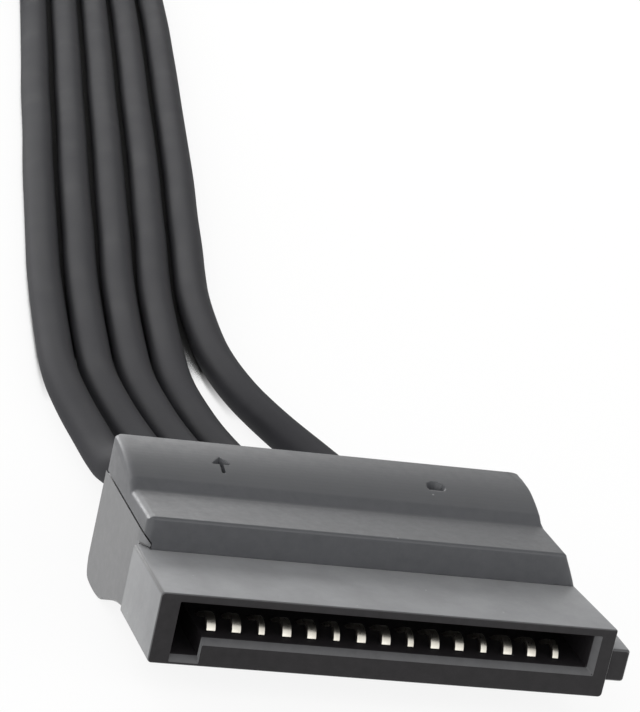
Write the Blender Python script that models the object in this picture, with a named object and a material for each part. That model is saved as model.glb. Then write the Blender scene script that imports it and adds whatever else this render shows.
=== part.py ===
"""Drive power extension cable: a 15-contact receptacle, five wires in a flat lay, and a plug.

All sizes are in millimetres. Each connector is drawn in its own frame: X runs along the row of
contacts with zero at the middle contact, Y runs from the mating face to the wires, and Z is up
with zero at the underside of the receptacle's front box. An empty carries each connector's frame.
"""
import math

import bmesh
import bpy
from mathutils import Vector

MM = 0.001

# contacts
PITCH = 1.27
CONTACTS = 15
PER_WIRE = 3
WIRES = CONTACTS // PER_WIRE
WIRE_PITCH = PITCH * PER_WIRE
CLEAR = 0.3

# receptacle, front box
FRONT_LEFT = -11.8
FRONT_RIGHT = 11.6
BOX_TOP = 3.65
BOX_DEPTH = 5.7
CORNER = 0.25

# receptacle, slot for the tongue and its key leg
SLOT_LEFT = -10.75
SLOT_RIGHT = 10.5
SLOT_FLOOR = 1.46
SLOT_TOP = 3.2
SLOT_DEPTH = 6.0
KEY_WIDTH = 1.4
KEY_FLOOR = 0.49
LEAD_IN = 0.31

# end tab of the receptacle
TAB_OUT = 0.9
TAB_LOW = 1.0
TAB_HIGH = 2.6
TAB_DEPTH = 1.1

# rear block under the cap, the same on both connectors
REAR_LEFT = -11.55
REAR_RIGHT = 10.95
REAR_Y = 13.2
FOOT = -1.5
WALL_TOP = 4.3
WALL_LEFT = 0.95
WALL_RIGHT = 0.9
WALL_NOSE = 0.25
RIGHT_COVER = 0.9

# cap with its two steps and ridge
CAP_FRONT = 5.0
STEP_TOP = 5.35
STEP_END = 8.55
RIDGE_TOP = 6.4
CAP_LEAN = 0.75
PEG_RADIUS = 0.5
PEG_Y = 8.0
MARK_DEPTH = 0.15

# wires
WIRE_DIAMETER = 2.1
WIRE_Z = 4.0
WIRE_START = 10.0
LAY_PITCH = 2.4

# stamped terminals
SHEET = 0.2
BEAM_WIDTH = 0.5
FORK_Y = 9.5
FORK_TOP = 4.8
FORK_HALF = 0.95
FORK_SLOT = 0.7
BEAM_FLOOR = 1.05
BEAM_TIP = 0.95
BLADE_WIDTH = 0.84
BLADE_TIP = 1.0

# plug: a shell round the tongue, and the same rear block set further back
SHELL_FIT = 0.3
SHELL_WALL = 1.1
SHELL_DEPTH = 6.4
SHELL_CAVITY = 5.9
PLUG_SHIFT = 1.7
TONGUE_HALF = 10.285
TONGUE_THICK = 1.23
TONGUE_TIP = 0.7
LEG_WIDTH = 0.85
LEG_DROP = 0.97

# hank: five wires bunched three over two, folded twice and tied at the waist
HANK_X = 6.7
HANK_Y = 137.5
FOLD_RADIUS = 8.7
WAIST_RUN = 4.0
HANK_CORNER = 11.0
HANK_CORNER_SMALL = 1.5

# tie
TIE_WIDTH = 2.5
TIE_THICK = 0.5
TIE_HEAD = (3.6, 4.2, 2.2)

# plug's place beyond the hank
TAIL_RUN = 13.6

WIRE_RADIUS = WIRE_DIAMETER / 2
FLOOR_Z = FOOT + WIRE_RADIUS
SECOND_LAYER = math.sqrt(LAY_PITCH**2 - (LAY_PITCH / 2) ** 2)
BUNCH_HALF = LAY_PITCH + WIRE_RADIUS
RUN_PITCH = 2 * BUNCH_HALF + CLEAR
FOLD_ANGLE = math.acos((RUN_PITCH / 2 + FOLD_RADIUS) / (2 * FOLD_RADIUS))
FOLD_REACH = 2 * FOLD_RADIUS * math.sin(FOLD_ANGLE) + FOLD_RADIUS
LOBE_HALF = FOLD_RADIUS + BUNCH_HALF
PASS_X = LOBE_HALF - RUN_PITCH / 2 + CLEAR + BUNCH_HALF
WAIST_LOW = HANK_Y + BUNCH_HALF + FOLD_REACH
WAIST_HIGH = WAIST_LOW + WAIST_RUN
HANK_END = WAIST_HIGH + FOLD_REACH + BUNCH_HALF
HANK_HALF = LOBE_HALF + RUN_PITCH / 2
PLUG_X = HANK_X - PASS_X
PLUG_Y = HANK_END + TAIL_RUN + REAR_Y + PLUG_SHIFT
WIRE_XS = [(i - (WIRES - 1) / 2) * WIRE_PITCH for i in range(WIRES)]

# the receptacle's middle, which the whole part is centred on
MIDDLE_X = (FRONT_LEFT + FRONT_RIGHT + TAB_OUT) / 2
MIDDLE_Y = REAR_Y / 2

# Where the five wires run from the receptacle to the hank: distance behind the mating face,
# height of their middle, and the place of each wire along the row.
ROUTE = [
    (14.2, 4.0, (-7.62, -3.81, 0.0, 3.81, 7.62)),
    (17.0, 3.5, (-7.65, -3.9, -0.2, 3.55, 7.58)),
    (20.0, 2.1, (-7.7, -4.2, -0.85, 2.55, 7.32)),
    (23.0, 0.65, (-7.68, -4.55, -1.65, 1.3, 6.85)),
    (26.0, -0.22, (-7.55, -4.75, -2.25, 0.35, 6.25)),
    (30.5, -0.43, (-7.45, -4.95, -2.6, -0.2, 5.35)),
    (35.0, -0.44, (-7.4, -5.0, -2.68, -0.36, 4.35)),
    (40.0, -0.44, (-7.1, -4.78, -2.46, -0.14, 3.7)),
    (46.0, -0.44, (-6.2, -3.88, -1.56, 0.76, 3.72)),
    (54.0, -0.44, (-4.85, -2.5, -0.15, 2.2, 4.72)),
    (60.0, -0.44, (-3.75, -1.35, 1.05, 3.45, 5.9)),
    (66.0, -0.44, (-2.55, -0.1, 2.35, 4.8, 7.25)),
    (73.0, -0.44, (-1.15, 1.3, 3.8, 6.3, 8.75)),
    (81.0, -0.44, (0.45, 2.95, 5.5, 8.05, 10.55)),
    (90.0, -0.44, (2.35, 4.85, 7.4, 9.95, 12.45)),
    (100.0, -0.44, (4.35, 6.9, 9.45, 12.0, 14.55)),
    (108.0, -0.44, (6.05, 8.6, 11.15, 13.7, 16.25)),
    (115.0, -0.44, (7.5, 10.05, 12.6, 15.15, 17.7)),
    (122.0, -0.44, (8.95, 11.5, 14.05, 16.6, 19.15)),
    (130.0, -0.44, (10.6, 13.15, 15.7, 18.2, 20.7)),
    (137.2, -0.44, (12.05, 14.55, 17.05, 19.5, 21.95)),
]


def clear_scene():
    for obj in list(bpy.data.objects):
        bpy.data.objects.remove(obj, do_unlink=True)


def linear(hex_colour):
    """sRGB hex colour as the linear RGBA that a shader takes."""
    parts = [int(hex_colour[i : i + 2], 16) / 255 for i in (0, 2, 4)]
    return [p / 12.92 if p <= 0.04045 else ((p + 0.055) / 1.055) ** 2.4 for p in parts] + [1.0]


def material(name, hex_colour, roughness, metallic):
    mat = bpy.data.materials.new(name)
    mat.use_nodes = True
    shader = mat.node_tree.nodes["Principled BSDF"]
    shader.inputs["Base Color"].default_value = linear(hex_colour)
    shader.inputs["Roughness"].default_value = roughness
    shader.inputs["Metallic"].default_value = metallic
    return mat


def frame_empty(name, x, y, turned):
    """An empty at a connector's own zero, at the height that puts its foot on the floor."""
    empty = bpy.data.objects.new(name, None)
    bpy.context.collection.objects.link(empty)
    empty.location = Vector((x - MIDDLE_X, y - MIDDLE_Y, -FOOT)) * MM
    empty.rotation_euler.z = math.pi if turned else 0.0
    return empty


def loft(bm, loops):
    """A closed solid through loops of equal length, with its first and last loop capped."""
    rings = [[bm.verts.new(Vector(p) * MM) for p in loop] for loop in loops]
    count = len(rings[0])
    for low, high in zip(rings, rings[1:]):
        for i in range(count):
            j = (i + 1) % count
            bm.faces.new((low[i], low[j], high[j], high[i]))
    bm.faces.new(rings[0][::-1])
    bm.faces.new(rings[-1])


def prism(bm, axis, outline, start, end):
    """An outline drawn across one axis (0 X, 1 Y, 2 Z) and pushed along it."""
    def place(a, b, along):
        point = [a, b]
        point.insert(axis, along)
        return point

    loft(bm, [[place(a, b, along) for a, b in outline] for along in (start, end)])


def box(bm, low, high):
    (x0, y0, z0), (x1, y1, z1) = low, high
    prism(bm, 2, [(x0, y0), (x1, y0), (x1, y1), (x0, y1)], z0, z1)


def circle(a, b, radius, sides):
    return [
        (a + radius * math.cos(2 * math.pi * i / sides), b + radius * math.sin(2 * math.pi * i / sides))
        for i in range(sides)
    ]


def solid(name, bm, mat=None, parent=None):
    """An object from a bmesh, with its faces turned outwards."""
    bmesh.ops.recalc_face_normals(bm, faces=bm.faces)
    mesh = bpy.data.meshes.new(name)
    bm.to_mesh(mesh)
    bm.free()
    obj = bpy.data.objects.new(name, mesh)
    bpy.context.collection.objects.link(obj)
    obj.parent = parent
    if mat:
        mesh.materials.append(mat)
    return obj


def boolean(obj, tool, operation="DIFFERENCE"):
    """A live Boolean on obj. The tool's own parts may overlap each other."""
    tool.parent = obj.parent
    tool.hide_render = True
    tool.display_type = "WIRE"
    modifier = obj.modifiers.new(tool.name, "BOOLEAN")
    modifier.object = tool
    modifier.operation = operation
    modifier.solver = "EXACT"
    modifier.use_self = True


def slot_outline(grow):
    """The L of the tongue and its key leg across X and Z, grown for the lead-in at the face."""
    key_right = SLOT_LEFT + KEY_WIDTH
    return [
        (SLOT_LEFT - grow, KEY_FLOOR - grow),
        (key_right + grow, KEY_FLOOR - grow),
        (key_right + grow, SLOT_FLOOR - grow),
        (SLOT_RIGHT + grow, SLOT_FLOOR - grow),
        (SLOT_RIGHT + grow, SLOT_TOP + grow * 0.1),
        (SLOT_LEFT - grow, SLOT_TOP + grow * 0.1),
    ]


def rear_outline(shift):
    """The rear block's side: a sloped front, the end wall's top and the foot that it stands on."""
    return [
        (REAR_Y + shift, WALL_TOP),
        (REAR_Y + shift, FOOT + 1.2),
        (REAR_Y + shift - 0.4, FOOT),
        (10.6 + shift, FOOT),
    ]


def cut_rear(obj, shift, low_front):
    """Cuts what both connectors share: the saddle for the cap, wire grooves, pockets and peg holes."""
    bm = bmesh.new()
    left, right = REAR_LEFT + WALL_LEFT, REAR_RIGHT - WALL_RIGHT
    front = CAP_FRONT + shift - CLEAR
    box(bm, (left, front, BOX_TOP), (right, REAR_Y + shift + 1, WALL_TOP + 3))
    wall_front = CAP_FRONT + shift + RIGHT_COVER + CLEAR
    box(bm, (right - 1, front, BOX_TOP), (REAR_RIGHT + 1, wall_front, WALL_TOP + 3))
    saddle = solid(obj.name + "_saddle_cut", bm)
    boolean(obj, saddle)
    bm = bmesh.new()
    for x in WIRE_XS:
        pocket = PITCH + BLADE_WIDTH / 2 + 0.05
        box(bm, (x - pocket, low_front, BEAM_FLOOR - 0.15), (x + pocket, FORK_Y + shift + 0.4, 1.95))
        box(bm, (x - pocket, FORK_Y + shift - 0.45, 1.2), (x + pocket, FORK_Y + shift + 0.45, 4.1))
        groove = circle(x, WIRE_Z, WIRE_RADIUS + CLEAR, 20)
        prism(bm, 1, groove, WIRE_START + shift - 0.3, REAR_Y + shift + 1)
    for x in (left + 0.85, right - 0.85):
        prism(bm, 2, circle(x, PEG_Y + shift, PEG_RADIUS + CLEAR, 14), 2.15, BOX_TOP + 0.5)
    boolean(obj, solid(obj.name + "_rear_cut", bm))


def cut_sides(obj, start, top):
    """Steps the ends of the rear block in from the ends of the box in front of it and below it."""
    bm = bmesh.new()
    for near, far in ((REAR_LEFT, -20.0), (REAR_RIGHT, 20.0)):
        box(bm, (min(near, far), start, -5.0), (max(near, far), 25.0, 10.0))
        box(bm, (min(near, far), start - 1.0, top), (max(near, far), 25.0, 10.0))
    boolean(obj, solid(obj.name + "_side_cut", bm))


def receptacle_housing(parent, mat):
    bm = bmesh.new()
    side = [
        (0.0, 0.0),
        (0.0, BOX_TOP),
        (CAP_FRONT + WALL_NOSE, BOX_TOP),
        (CAP_FRONT, WALL_TOP),
        *rear_outline(0.0),
        (7.5, -0.3),
        (BOX_DEPTH, 0.0),
    ]
    prism(bm, 0, side, FRONT_LEFT, FRONT_RIGHT)
    housing = solid("receptacle_housing", bm, mat, parent)
    cut_sides(housing, BOX_DEPTH, BOX_TOP)

    bm = bmesh.new()
    tab_x = FRONT_RIGHT + TAB_OUT
    tab = [
        (FRONT_RIGHT - 0.6, TAB_LOW),
        (tab_x, TAB_LOW),
        (tab_x, TAB_HIGH - 0.3),
        (tab_x - 0.09, TAB_HIGH - 0.09),
        (tab_x - 0.3, TAB_HIGH),
        (FRONT_RIGHT - 0.6, TAB_HIGH),
    ]
    prism(bm, 1, tab, 0.0, TAB_DEPTH)
    corner_tool = bmesh.new()
    for z0, z1 in ((-1.0, TAB_LOW - 0.02), (TAB_HIGH + 0.02, BOX_TOP + 1.0)):
        wedge = [
            (FRONT_RIGHT - CORNER, -0.01),
            (FRONT_RIGHT + 0.5, -0.01),
            (FRONT_RIGHT + 0.5, CORNER + 0.5),
            (FRONT_RIGHT + 0.01, CORNER + 0.01),
        ]
        prism(corner_tool, 2, wedge, z0, z1)
    boolean(housing, solid("receptacle_corner_cut", corner_tool))
    boolean(housing, solid("receptacle_tab", bm), "UNION")

    bm = bmesh.new()
    mouth = [(x, -0.1, z) for x, z in slot_outline(LEAD_IN * 1.3)]
    throat = [(x, LEAD_IN, z) for x, z in slot_outline(0.0)]
    back = [(x, SLOT_DEPTH, z) for x, z in slot_outline(0.0)]
    loft(bm, [mouth, throat, back])
    boolean(housing, solid("receptacle_slot_cut", bm))

    bm = bmesh.new()
    for i in range(CONTACTS):
        x = (i - (CONTACTS - 1) / 2) * PITCH
        half = BEAM_WIDTH / 2 + 0.1
        box(bm, (x - half, BEAM_TIP - 0.25, BEAM_FLOOR), (x + half, SLOT_DEPTH + 0.2, SLOT_FLOOR + 0.3))
    boolean(housing, solid("receptacle_beam_cut", bm))
    cut_rear(housing, 0.0, SLOT_DEPTH - 0.15)
    return housing


def cap(name, parent, mat, shift):
    """The stepped top that presses the wires down: a riser, a flat step, a rounded ridge."""
    bm = bmesh.new()
    low = BOX_TOP + CLEAR
    ridge = [
        (STEP_END, STEP_TOP - 0.1),
        (9.2, 5.68),
        (9.9, 5.96),
        (10.8, 6.15),
        (11.8, 6.29),
        (12.9, RIDGE_TOP),
        (REAR_Y, RIDGE_TOP - 0.15),
    ]
    riser = [(CAP_FRONT, low), (CAP_FRONT, STEP_TOP - 0.12), (CAP_FRONT + 0.12, STEP_TOP)]
    side = [*riser, *ridge, (REAR_Y, low)]
    prism(bm, 0, [(y + shift, z) for y, z in side], REAR_LEFT, REAR_RIGHT + 0.15)
    body = solid(name, bm, mat, parent)

    bm = bmesh.new()
    y0, y1 = CAP_FRONT + shift - 1, REAR_Y + shift + 1
    inner_left = REAR_LEFT + WALL_LEFT + CLEAR
    inner_right = REAR_RIGHT - WALL_RIGHT - CLEAR
    box(bm, (REAR_LEFT - 1, y0, low - 1), (inner_left, y1, WALL_TOP + CLEAR))
    covered = CAP_FRONT + shift + RIGHT_COVER
    box(bm, (inner_right, covered, low - 1), (REAR_RIGHT + 1, y1, WALL_TOP + CLEAR))
    out = REAR_RIGHT + 1.0
    top_x = REAR_RIGHT - CAP_LEAN
    lean = [
        (REAR_RIGHT + 0.1, low - 1.2),
        (REAR_RIGHT, low),
        (REAR_RIGHT - CAP_LEAN * 0.4, 4.55),
        (REAR_RIGHT - CAP_LEAN * 0.72, 5.0),
        (top_x + 0.02, STEP_TOP),
        (top_x, RIDGE_TOP - 0.4),
        (top_x - 0.15, RIDGE_TOP - 0.16),
        (top_x - 0.5, RIDGE_TOP + 0.02),
        (top_x - 0.5, RIDGE_TOP + 1),
        (out, RIDGE_TOP + 1),
        (out, low - 1.2),
    ]
    prism(bm, 1, lean, y0, y1)
    boolean(body, solid(name + "_end_cut", bm))

    bm = bmesh.new()
    for x in WIRE_XS:
        tunnel = circle(x, WIRE_Z, WIRE_RADIUS + CLEAR, 20)
        prism(bm, 1, tunnel, WIRE_START + shift - 0.3, REAR_Y + shift + 1)
        half = FORK_HALF + CLEAR
        y = FORK_Y + shift
        box(bm, (x - half, y - 0.4, low - 1), (x + half, y + 0.4, FORK_TOP + CLEAR))
    boolean(body, solid(name + "_wire_cut", bm))

    bm = bmesh.new()
    for x in (REAR_LEFT + WALL_LEFT + 0.85, REAR_RIGHT - WALL_RIGHT - 0.85):
        prism(bm, 2, circle(x, PEG_Y + shift, PEG_RADIUS, 14), 2.45, low + 0.4)
    boolean(body, solid(name + "_pegs", bm), "UNION")

    bm = bmesh.new()
    top = 6.15 - MARK_DEPTH
    arrow = [(-7.0, 10.4 + shift), (-6.1, 10.4 + shift), (-6.55, 11.2 + shift)]
    prism(bm, 2, arrow, top, RIDGE_TOP + 1)
    prism(bm, 2, circle(4.75, 10.5 + shift, 0.35, 12), top, RIDGE_TOP + 1)
    boolean(body, solid(name + "_mark_cut", bm))
    return body


def terminal(name, x, parent, mat, profile, finger_half):
    """A stamped terminal: three fingers, a web, and a fork that stands up under the wire.

    The blank is a flat sheet of cells that follows the profile of (y, z) points. The fingers take
    the first part of the profile, the web the next, and the fork's prongs the last.
    """
    web_half = PITCH + finger_half
    cuts = {-FORK_HALF, -FORK_SLOT / 2, FORK_SLOT / 2, FORK_HALF}
    for k in (-PITCH, 0.0, PITCH):
        cuts |= {k - finger_half, k + finger_half}
    cuts = sorted(round(c, 4) for c in cuts)
    points, web_from, prongs_from = profile
    bm = bmesh.new()
    grid = [[bm.verts.new(Vector((x + c, y, z)) * MM) for c in cuts] for y, z in points]
    for row in range(len(points) - 1):
        for col in range(len(cuts) - 1):
            middle = (cuts[col] + cuts[col + 1]) / 2
            finger = min(abs(middle - k) for k in (-PITCH, 0.0, PITCH)) < finger_half
            prong = FORK_SLOT / 2 < abs(middle) < FORK_HALF
            kept = finger if row < web_from else abs(middle) < web_half
            if row >= prongs_from:
                kept = prong
            if kept:
                low, high = grid[row], grid[row + 1]
                bm.faces.new((low[col], low[col + 1], high[col + 1], high[col]))
    for vert in [v for v in bm.verts if not v.link_faces]:
        bm.verts.remove(vert)
    obj = solid(name, bm, mat, parent)
    thick = obj.modifiers.new("sheet", "SOLIDIFY")
    thick.thickness = SHEET * MM
    thick.offset = 0.0
    thick.use_even_offset = True
    return obj


def fork_points(shift, web_z):
    """The bend up from the web and the fork, as (y, z) points, and which of them the prongs start at."""
    y = FORK_Y + shift
    bend = 0.35
    return [
        (y - bend, web_z),
        (y - bend * 0.3, web_z + bend * 0.3),
        (y, web_z + bend),
        (y, 2.7),
        (y, FORK_TOP),
    ]


def spring_profile():
    """Receptacle contacts: a rounded crown near the mouth, then a slope down to the web."""
    beam = [(BEAM_TIP, 1.52), (1.12, 1.72), (1.4, 1.82), (1.8, 1.82), (3.6, 1.62), (5.5, 1.45), (6.4, 1.45)]
    tail = fork_points(0.0, 1.45)
    return beam + tail, len(beam) - 1, len(beam) + len(tail) - 2


def blade_profile():
    """Plug contacts: flat blades along the underside of the tongue."""
    z = plug_tongue_floor() - CLEAR - SHEET / 2
    beam = [(BLADE_TIP, z), (3.5, z), (SHELL_CAVITY + 0.6, z)]
    tail = fork_points(PLUG_SHIFT, z)
    return beam + tail, len(beam) - 1, len(beam) + len(tail) - 2


def plug_tongue_floor():
    """The tongue sits in the middle of the receptacle's slot, from its floor to its top."""
    return (SLOT_FLOOR + SLOT_TOP) / 2 - TONGUE_THICK / 2


def plug_housing(parent, mat):
    inner_half = FRONT_RIGHT + SHELL_FIT
    inner_left = -inner_half
    inner_right = -FRONT_LEFT + SHELL_FIT
    outer = inner_right + SHELL_WALL
    inner_top = BOX_TOP + SHELL_FIT
    top = inner_top + SHELL_WALL
    bm = bmesh.new()
    side = [
        (0.0, FOOT),
        (0.0, top),
        (SHELL_DEPTH, top),
        (SHELL_DEPTH, WALL_TOP),
        *rear_outline(PLUG_SHIFT)[:3],
    ]
    prism(bm, 0, side, -outer, outer)
    housing = solid("plug_housing", bm, mat, parent)
    cut_sides(housing, SHELL_DEPTH, top + 1.0)

    bm = bmesh.new()
    box(bm, (inner_left, -1.0, -SHELL_FIT), (inner_right, SHELL_CAVITY, inner_top))
    box(bm, (inner_left - TAB_OUT, -1.0, TAB_LOW - 0.3), (0.0, TAB_DEPTH + 0.4, TAB_HIGH + 0.3))
    boolean(housing, solid("plug_cavity_cut", bm))

    bm = bmesh.new()
    low = plug_tongue_floor()
    box(bm, (-TONGUE_HALF, TONGUE_TIP, low), (TONGUE_HALF, SHELL_CAVITY + 0.2, low + TONGUE_THICK))
    box(
        bm,
        (TONGUE_HALF - LEG_WIDTH, TONGUE_TIP, low - LEG_DROP),
        (TONGUE_HALF, SHELL_CAVITY + 0.2, low + 0.3),
    )
    boolean(housing, solid("plug_tongue", bm), "UNION")
    cut_rear(housing, PLUG_SHIFT, SHELL_CAVITY - 0.1)
    return housing


def smooth(points, steps=2):
    """A smooth path through the points, with each stretch between two of them cut into steps."""
    ends = [points[0], *points, points[-1]]
    path = []
    for before, start, end, after in zip(ends, ends[1:], ends[2:], ends[3:]):
        for k in range(steps):
            t = k / steps
            weights = (
                (-t + 2 * t**2 - t**3) / 2,
                (2 - 5 * t**2 + 3 * t**3) / 2,
                (t + 4 * t**2 - 3 * t**3) / 2,
                (t**3 - t**2) / 2,
            )
            four = zip(before, start, end, after)
            path.append(tuple(sum(w * v for w, v in zip(weights, axis)) for axis in four))
    return [*path, points[-1]]


def wire(name, points, parent, mat):
    """One insulated wire as a round tube along a smooth path through its points."""
    points = smooth(points)
    curve = bpy.data.curves.new(name, "CURVE")
    curve.dimensions = "3D"
    curve.bevel_depth = WIRE_RADIUS * MM
    curve.bevel_resolution = 2
    curve.use_fill_caps = True
    spline = curve.splines.new("POLY")
    spline.points.add(len(points) - 1)
    for point, place in zip(spline.points, points):
        point.co = (*(Vector(place) * MM), 1.0)
    obj = bpy.data.objects.new(name, curve)
    bpy.context.collection.objects.link(obj)
    obj.parent = parent
    curve.materials.append(mat)
    return obj


def lead_points(i):
    """From inside the receptacle, along the route, to the hank's near edge."""
    start = [(WIRE_XS[i], WIRE_START, WIRE_Z)]
    return start + [(xs[i], y, z) for y, z, xs in ROUTE]


def tail_points(i):
    """From the hank's far edge to inside the plug, fanning out to the plug's own wire pitch."""
    bunch_x = (i - (WIRES - 1) / 2) * LAY_PITCH / 2
    bunch_z = FLOOR_Z + (SECOND_LAYER if i % 2 else 0.0)
    start_y = HANK_END + CLEAR
    end_y = PLUG_Y - REAR_Y - PLUG_SHIFT
    rows = [(0.0, 0.0), (0.2, 0.04), (0.4, 0.22), (0.6, 0.5), (0.8, 0.8), (0.93, 0.96)]
    points = []
    for along, share in rows:
        x = PLUG_X + bunch_x + share * (WIRE_XS[i] - bunch_x)
        z = bunch_z + share * (WIRE_Z - bunch_z)
        points.append((x, start_y + along * (end_y - start_y), z))
    points.append((PLUG_X + WIRE_XS[i], end_y, WIRE_Z))
    points.append((PLUG_X + WIRE_XS[i], PLUG_Y - WIRE_START - PLUG_SHIFT, WIRE_Z))
    return points


def arc(cx, cy, radius, start, end, steps):
    angles = [math.radians(start + (end - start) * k / steps) for k in range(steps + 1)]
    return [(cx + radius * math.cos(a), cy + radius * math.sin(a)) for a in angles]


def hank_outline():
    """Two lobes and a waist. Each lobe has square corners where the wires pass beside it."""
    low, high = HANK_X - HANK_HALF, HANK_X + HANK_HALF
    waist = RUN_PITCH + BUNCH_HALF + CLEAR
    big, small = HANK_CORNER, HANK_CORNER_SMALL
    slope = HANK_HALF - waist
    return [
        *arc(low + big, HANK_Y + big, big, 180, 270, 8),
        *arc(high - small, HANK_Y + small, small, 270, 360, 2),
        (high, WAIST_LOW - slope),
        (HANK_X + waist, WAIST_LOW),
        (HANK_X + waist, WAIST_HIGH),
        (high, WAIST_HIGH + slope),
        *arc(high - big, HANK_END - big, big, 0, 90, 8),
        *arc(low + small, HANK_END - small, small, 90, 180, 2),
        (low, WAIST_HIGH + slope),
        (HANK_X - waist, WAIST_HIGH),
        (HANK_X - waist, WAIST_LOW),
        (low, WAIST_LOW - slope),
    ]


def hank(parent, mat):
    """The folded length as one solid, lifted at the waist where the tie passes below it."""
    bm = bmesh.new()
    top = FLOOR_Z + SECOND_LAYER + WIRE_RADIUS
    prism(bm, 2, hank_outline(), FOOT + 0.02, top)
    body = solid("wire_hank", bm, mat, parent)
    bm = bmesh.new()
    middle = (WAIST_LOW + WAIST_HIGH) / 2
    half = TIE_WIDTH / 2 + CLEAR
    lift = TIE_THICK + CLEAR
    box(bm, (HANK_X - 20, middle - half, FOOT - 1), (HANK_X + 20, middle + half, FOOT + lift))
    boolean(body, solid("wire_hank_tie_cut", bm))
    bm = bmesh.new()
    waist = RUN_PITCH + BUNCH_HALF + CLEAR
    box(bm, (HANK_X - waist, WAIST_LOW, top - 1), (HANK_X + waist, WAIST_HIGH, top + lift))
    boolean(body, solid("wire_hank_waist", bm), "UNION")
    return body


def tie(parent, mat):
    """A moulded strap round the waist, with its square head and a short cut tail on top."""
    waist = RUN_PITCH + BUNCH_HALF + CLEAR
    inner_x = waist + CLEAR
    inner_z0 = FOOT + TIE_THICK
    inner_z1 = FLOOR_Z + SECOND_LAYER + WIRE_RADIUS + TIE_THICK + 2 * CLEAR
    middle = (WAIST_LOW + WAIST_HIGH) / 2
    y0, y1 = middle - TIE_WIDTH / 2, middle + TIE_WIDTH / 2

    def loop(out):
        x, z0, z1, r = inner_x + out, inner_z0 - out, inner_z1 + out, 0.6 + out
        return [
            *arc(HANK_X + x - r, z1 - r, r, 0, 90, 3),
            *arc(HANK_X - x + r, z1 - r, r, 90, 180, 3),
            *arc(HANK_X - x + r, z0 + r, r, 180, 270, 3),
            *arc(HANK_X + x - r, z0 + r, r, 270, 360, 3),
        ]

    bm = bmesh.new()
    rings = [
        [bm.verts.new(Vector((x, y, z)) * MM) for x, z in loop(out)]
        for out, y in ((TIE_THICK, y0), (TIE_THICK, y1), (0.0, y1), (0.0, y0))
    ]
    count = len(rings[0])
    for near, far in zip(rings, rings[1:] + rings[:1]):
        for i in range(count):
            j = (i + 1) % count
            bm.faces.new((near[i], near[j], far[j], far[i]))
    strap = solid("hank_tie", bm, mat, parent)

    bm = bmesh.new()
    length, width, height = TIE_HEAD
    x0 = HANK_X + waist - length - 1
    box(
        bm,
        (x0, middle - width / 2, inner_z1 + 0.2),
        (x0 + length, middle + width / 2, inner_z1 + 0.2 + height),
    )
    box(
        bm,
        (x0 - 3.4, y0 + 0.1, inner_z1 + 1.3),
        (x0 + 0.4, y1 - 0.1, inner_z1 + 1.3 + TIE_THICK),
    )
    boolean(strap, solid("hank_tie_head", bm), "UNION")
    return strap


def main():
    clear_scene()
    black = material("black_housing", "3a3b3d", 0.55, 0.0)
    cap_black = material("black_cap", "3c3d3f", 0.58, 0.0)
    metal = material("tinned_contact", "c9c8c0", 0.3, 1.0)
    insulation = material("wire_insulation", "2f3032", 0.5, 0.0)
    nylon = material("tie_nylon", "26272a", 0.45, 0.0)

    near = frame_empty("receptacle_frame", 0.0, 0.0, False)
    receptacle_housing(near, black)
    cap("receptacle_cap", near, cap_black, 0.0)
    for i, x in enumerate(WIRE_XS, 1):
        terminal(f"receptacle_terminal_{i}", x, near, metal, spring_profile(), BEAM_WIDTH / 2)

    for i in range(WIRES):
        wire(f"wire_{i + 1}", lead_points(i), near, insulation)
        wire(f"wire_{i + 1}_end", tail_points(i), near, insulation)
    hank(near, insulation)
    tie(near, nylon)

    far = frame_empty("plug_frame", PLUG_X, PLUG_Y, True)
    plug_housing(far, black)
    cap("plug_cap", far, cap_black, PLUG_SHIFT)
    for i, x in enumerate(WIRE_XS, 1):
        terminal(f"plug_terminal_{i}", x, far, metal, blade_profile(), BLADE_WIDTH / 2)


main()
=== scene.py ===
"""The finish of a drive power extension cable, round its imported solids.

Lengths are in millimetres in the receptacle's own frame: X along its row of contacts with zero at
the middle one, Y from the mating face to the wires, Z up from the underside of its front box.
"""
import math

import bmesh
import bpy
import numpy as np
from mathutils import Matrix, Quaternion, Vector


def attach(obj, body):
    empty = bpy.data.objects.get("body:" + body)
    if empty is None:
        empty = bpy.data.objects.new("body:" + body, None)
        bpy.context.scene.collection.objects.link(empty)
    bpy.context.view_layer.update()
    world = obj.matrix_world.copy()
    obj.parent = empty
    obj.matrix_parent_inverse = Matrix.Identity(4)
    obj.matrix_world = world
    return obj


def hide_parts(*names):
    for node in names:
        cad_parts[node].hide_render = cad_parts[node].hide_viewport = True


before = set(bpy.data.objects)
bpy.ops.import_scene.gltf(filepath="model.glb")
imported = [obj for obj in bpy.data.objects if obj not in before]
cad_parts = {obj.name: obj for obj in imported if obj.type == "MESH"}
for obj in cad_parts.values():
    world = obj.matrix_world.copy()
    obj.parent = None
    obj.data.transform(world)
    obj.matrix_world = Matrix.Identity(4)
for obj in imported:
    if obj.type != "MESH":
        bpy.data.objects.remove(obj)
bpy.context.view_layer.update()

# Camera: a long lens low in front of the receptacle, to the left of its key slot, turned a little
# about its own line of sight, as the photograph was taken. Its place is from the model's origin.
MM = 0.001
IMAGE_HEIGHT_PX = 712
FOCAL_LENGTH_PX = 3600
SENSOR = 36.0
CAMERA_PLACE = (-62.28, -154.15, 68.74)
LOOK_ALONG = (0.3332, 0.8908, -0.3089)
CAMERA_ROLL = 12.76

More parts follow.
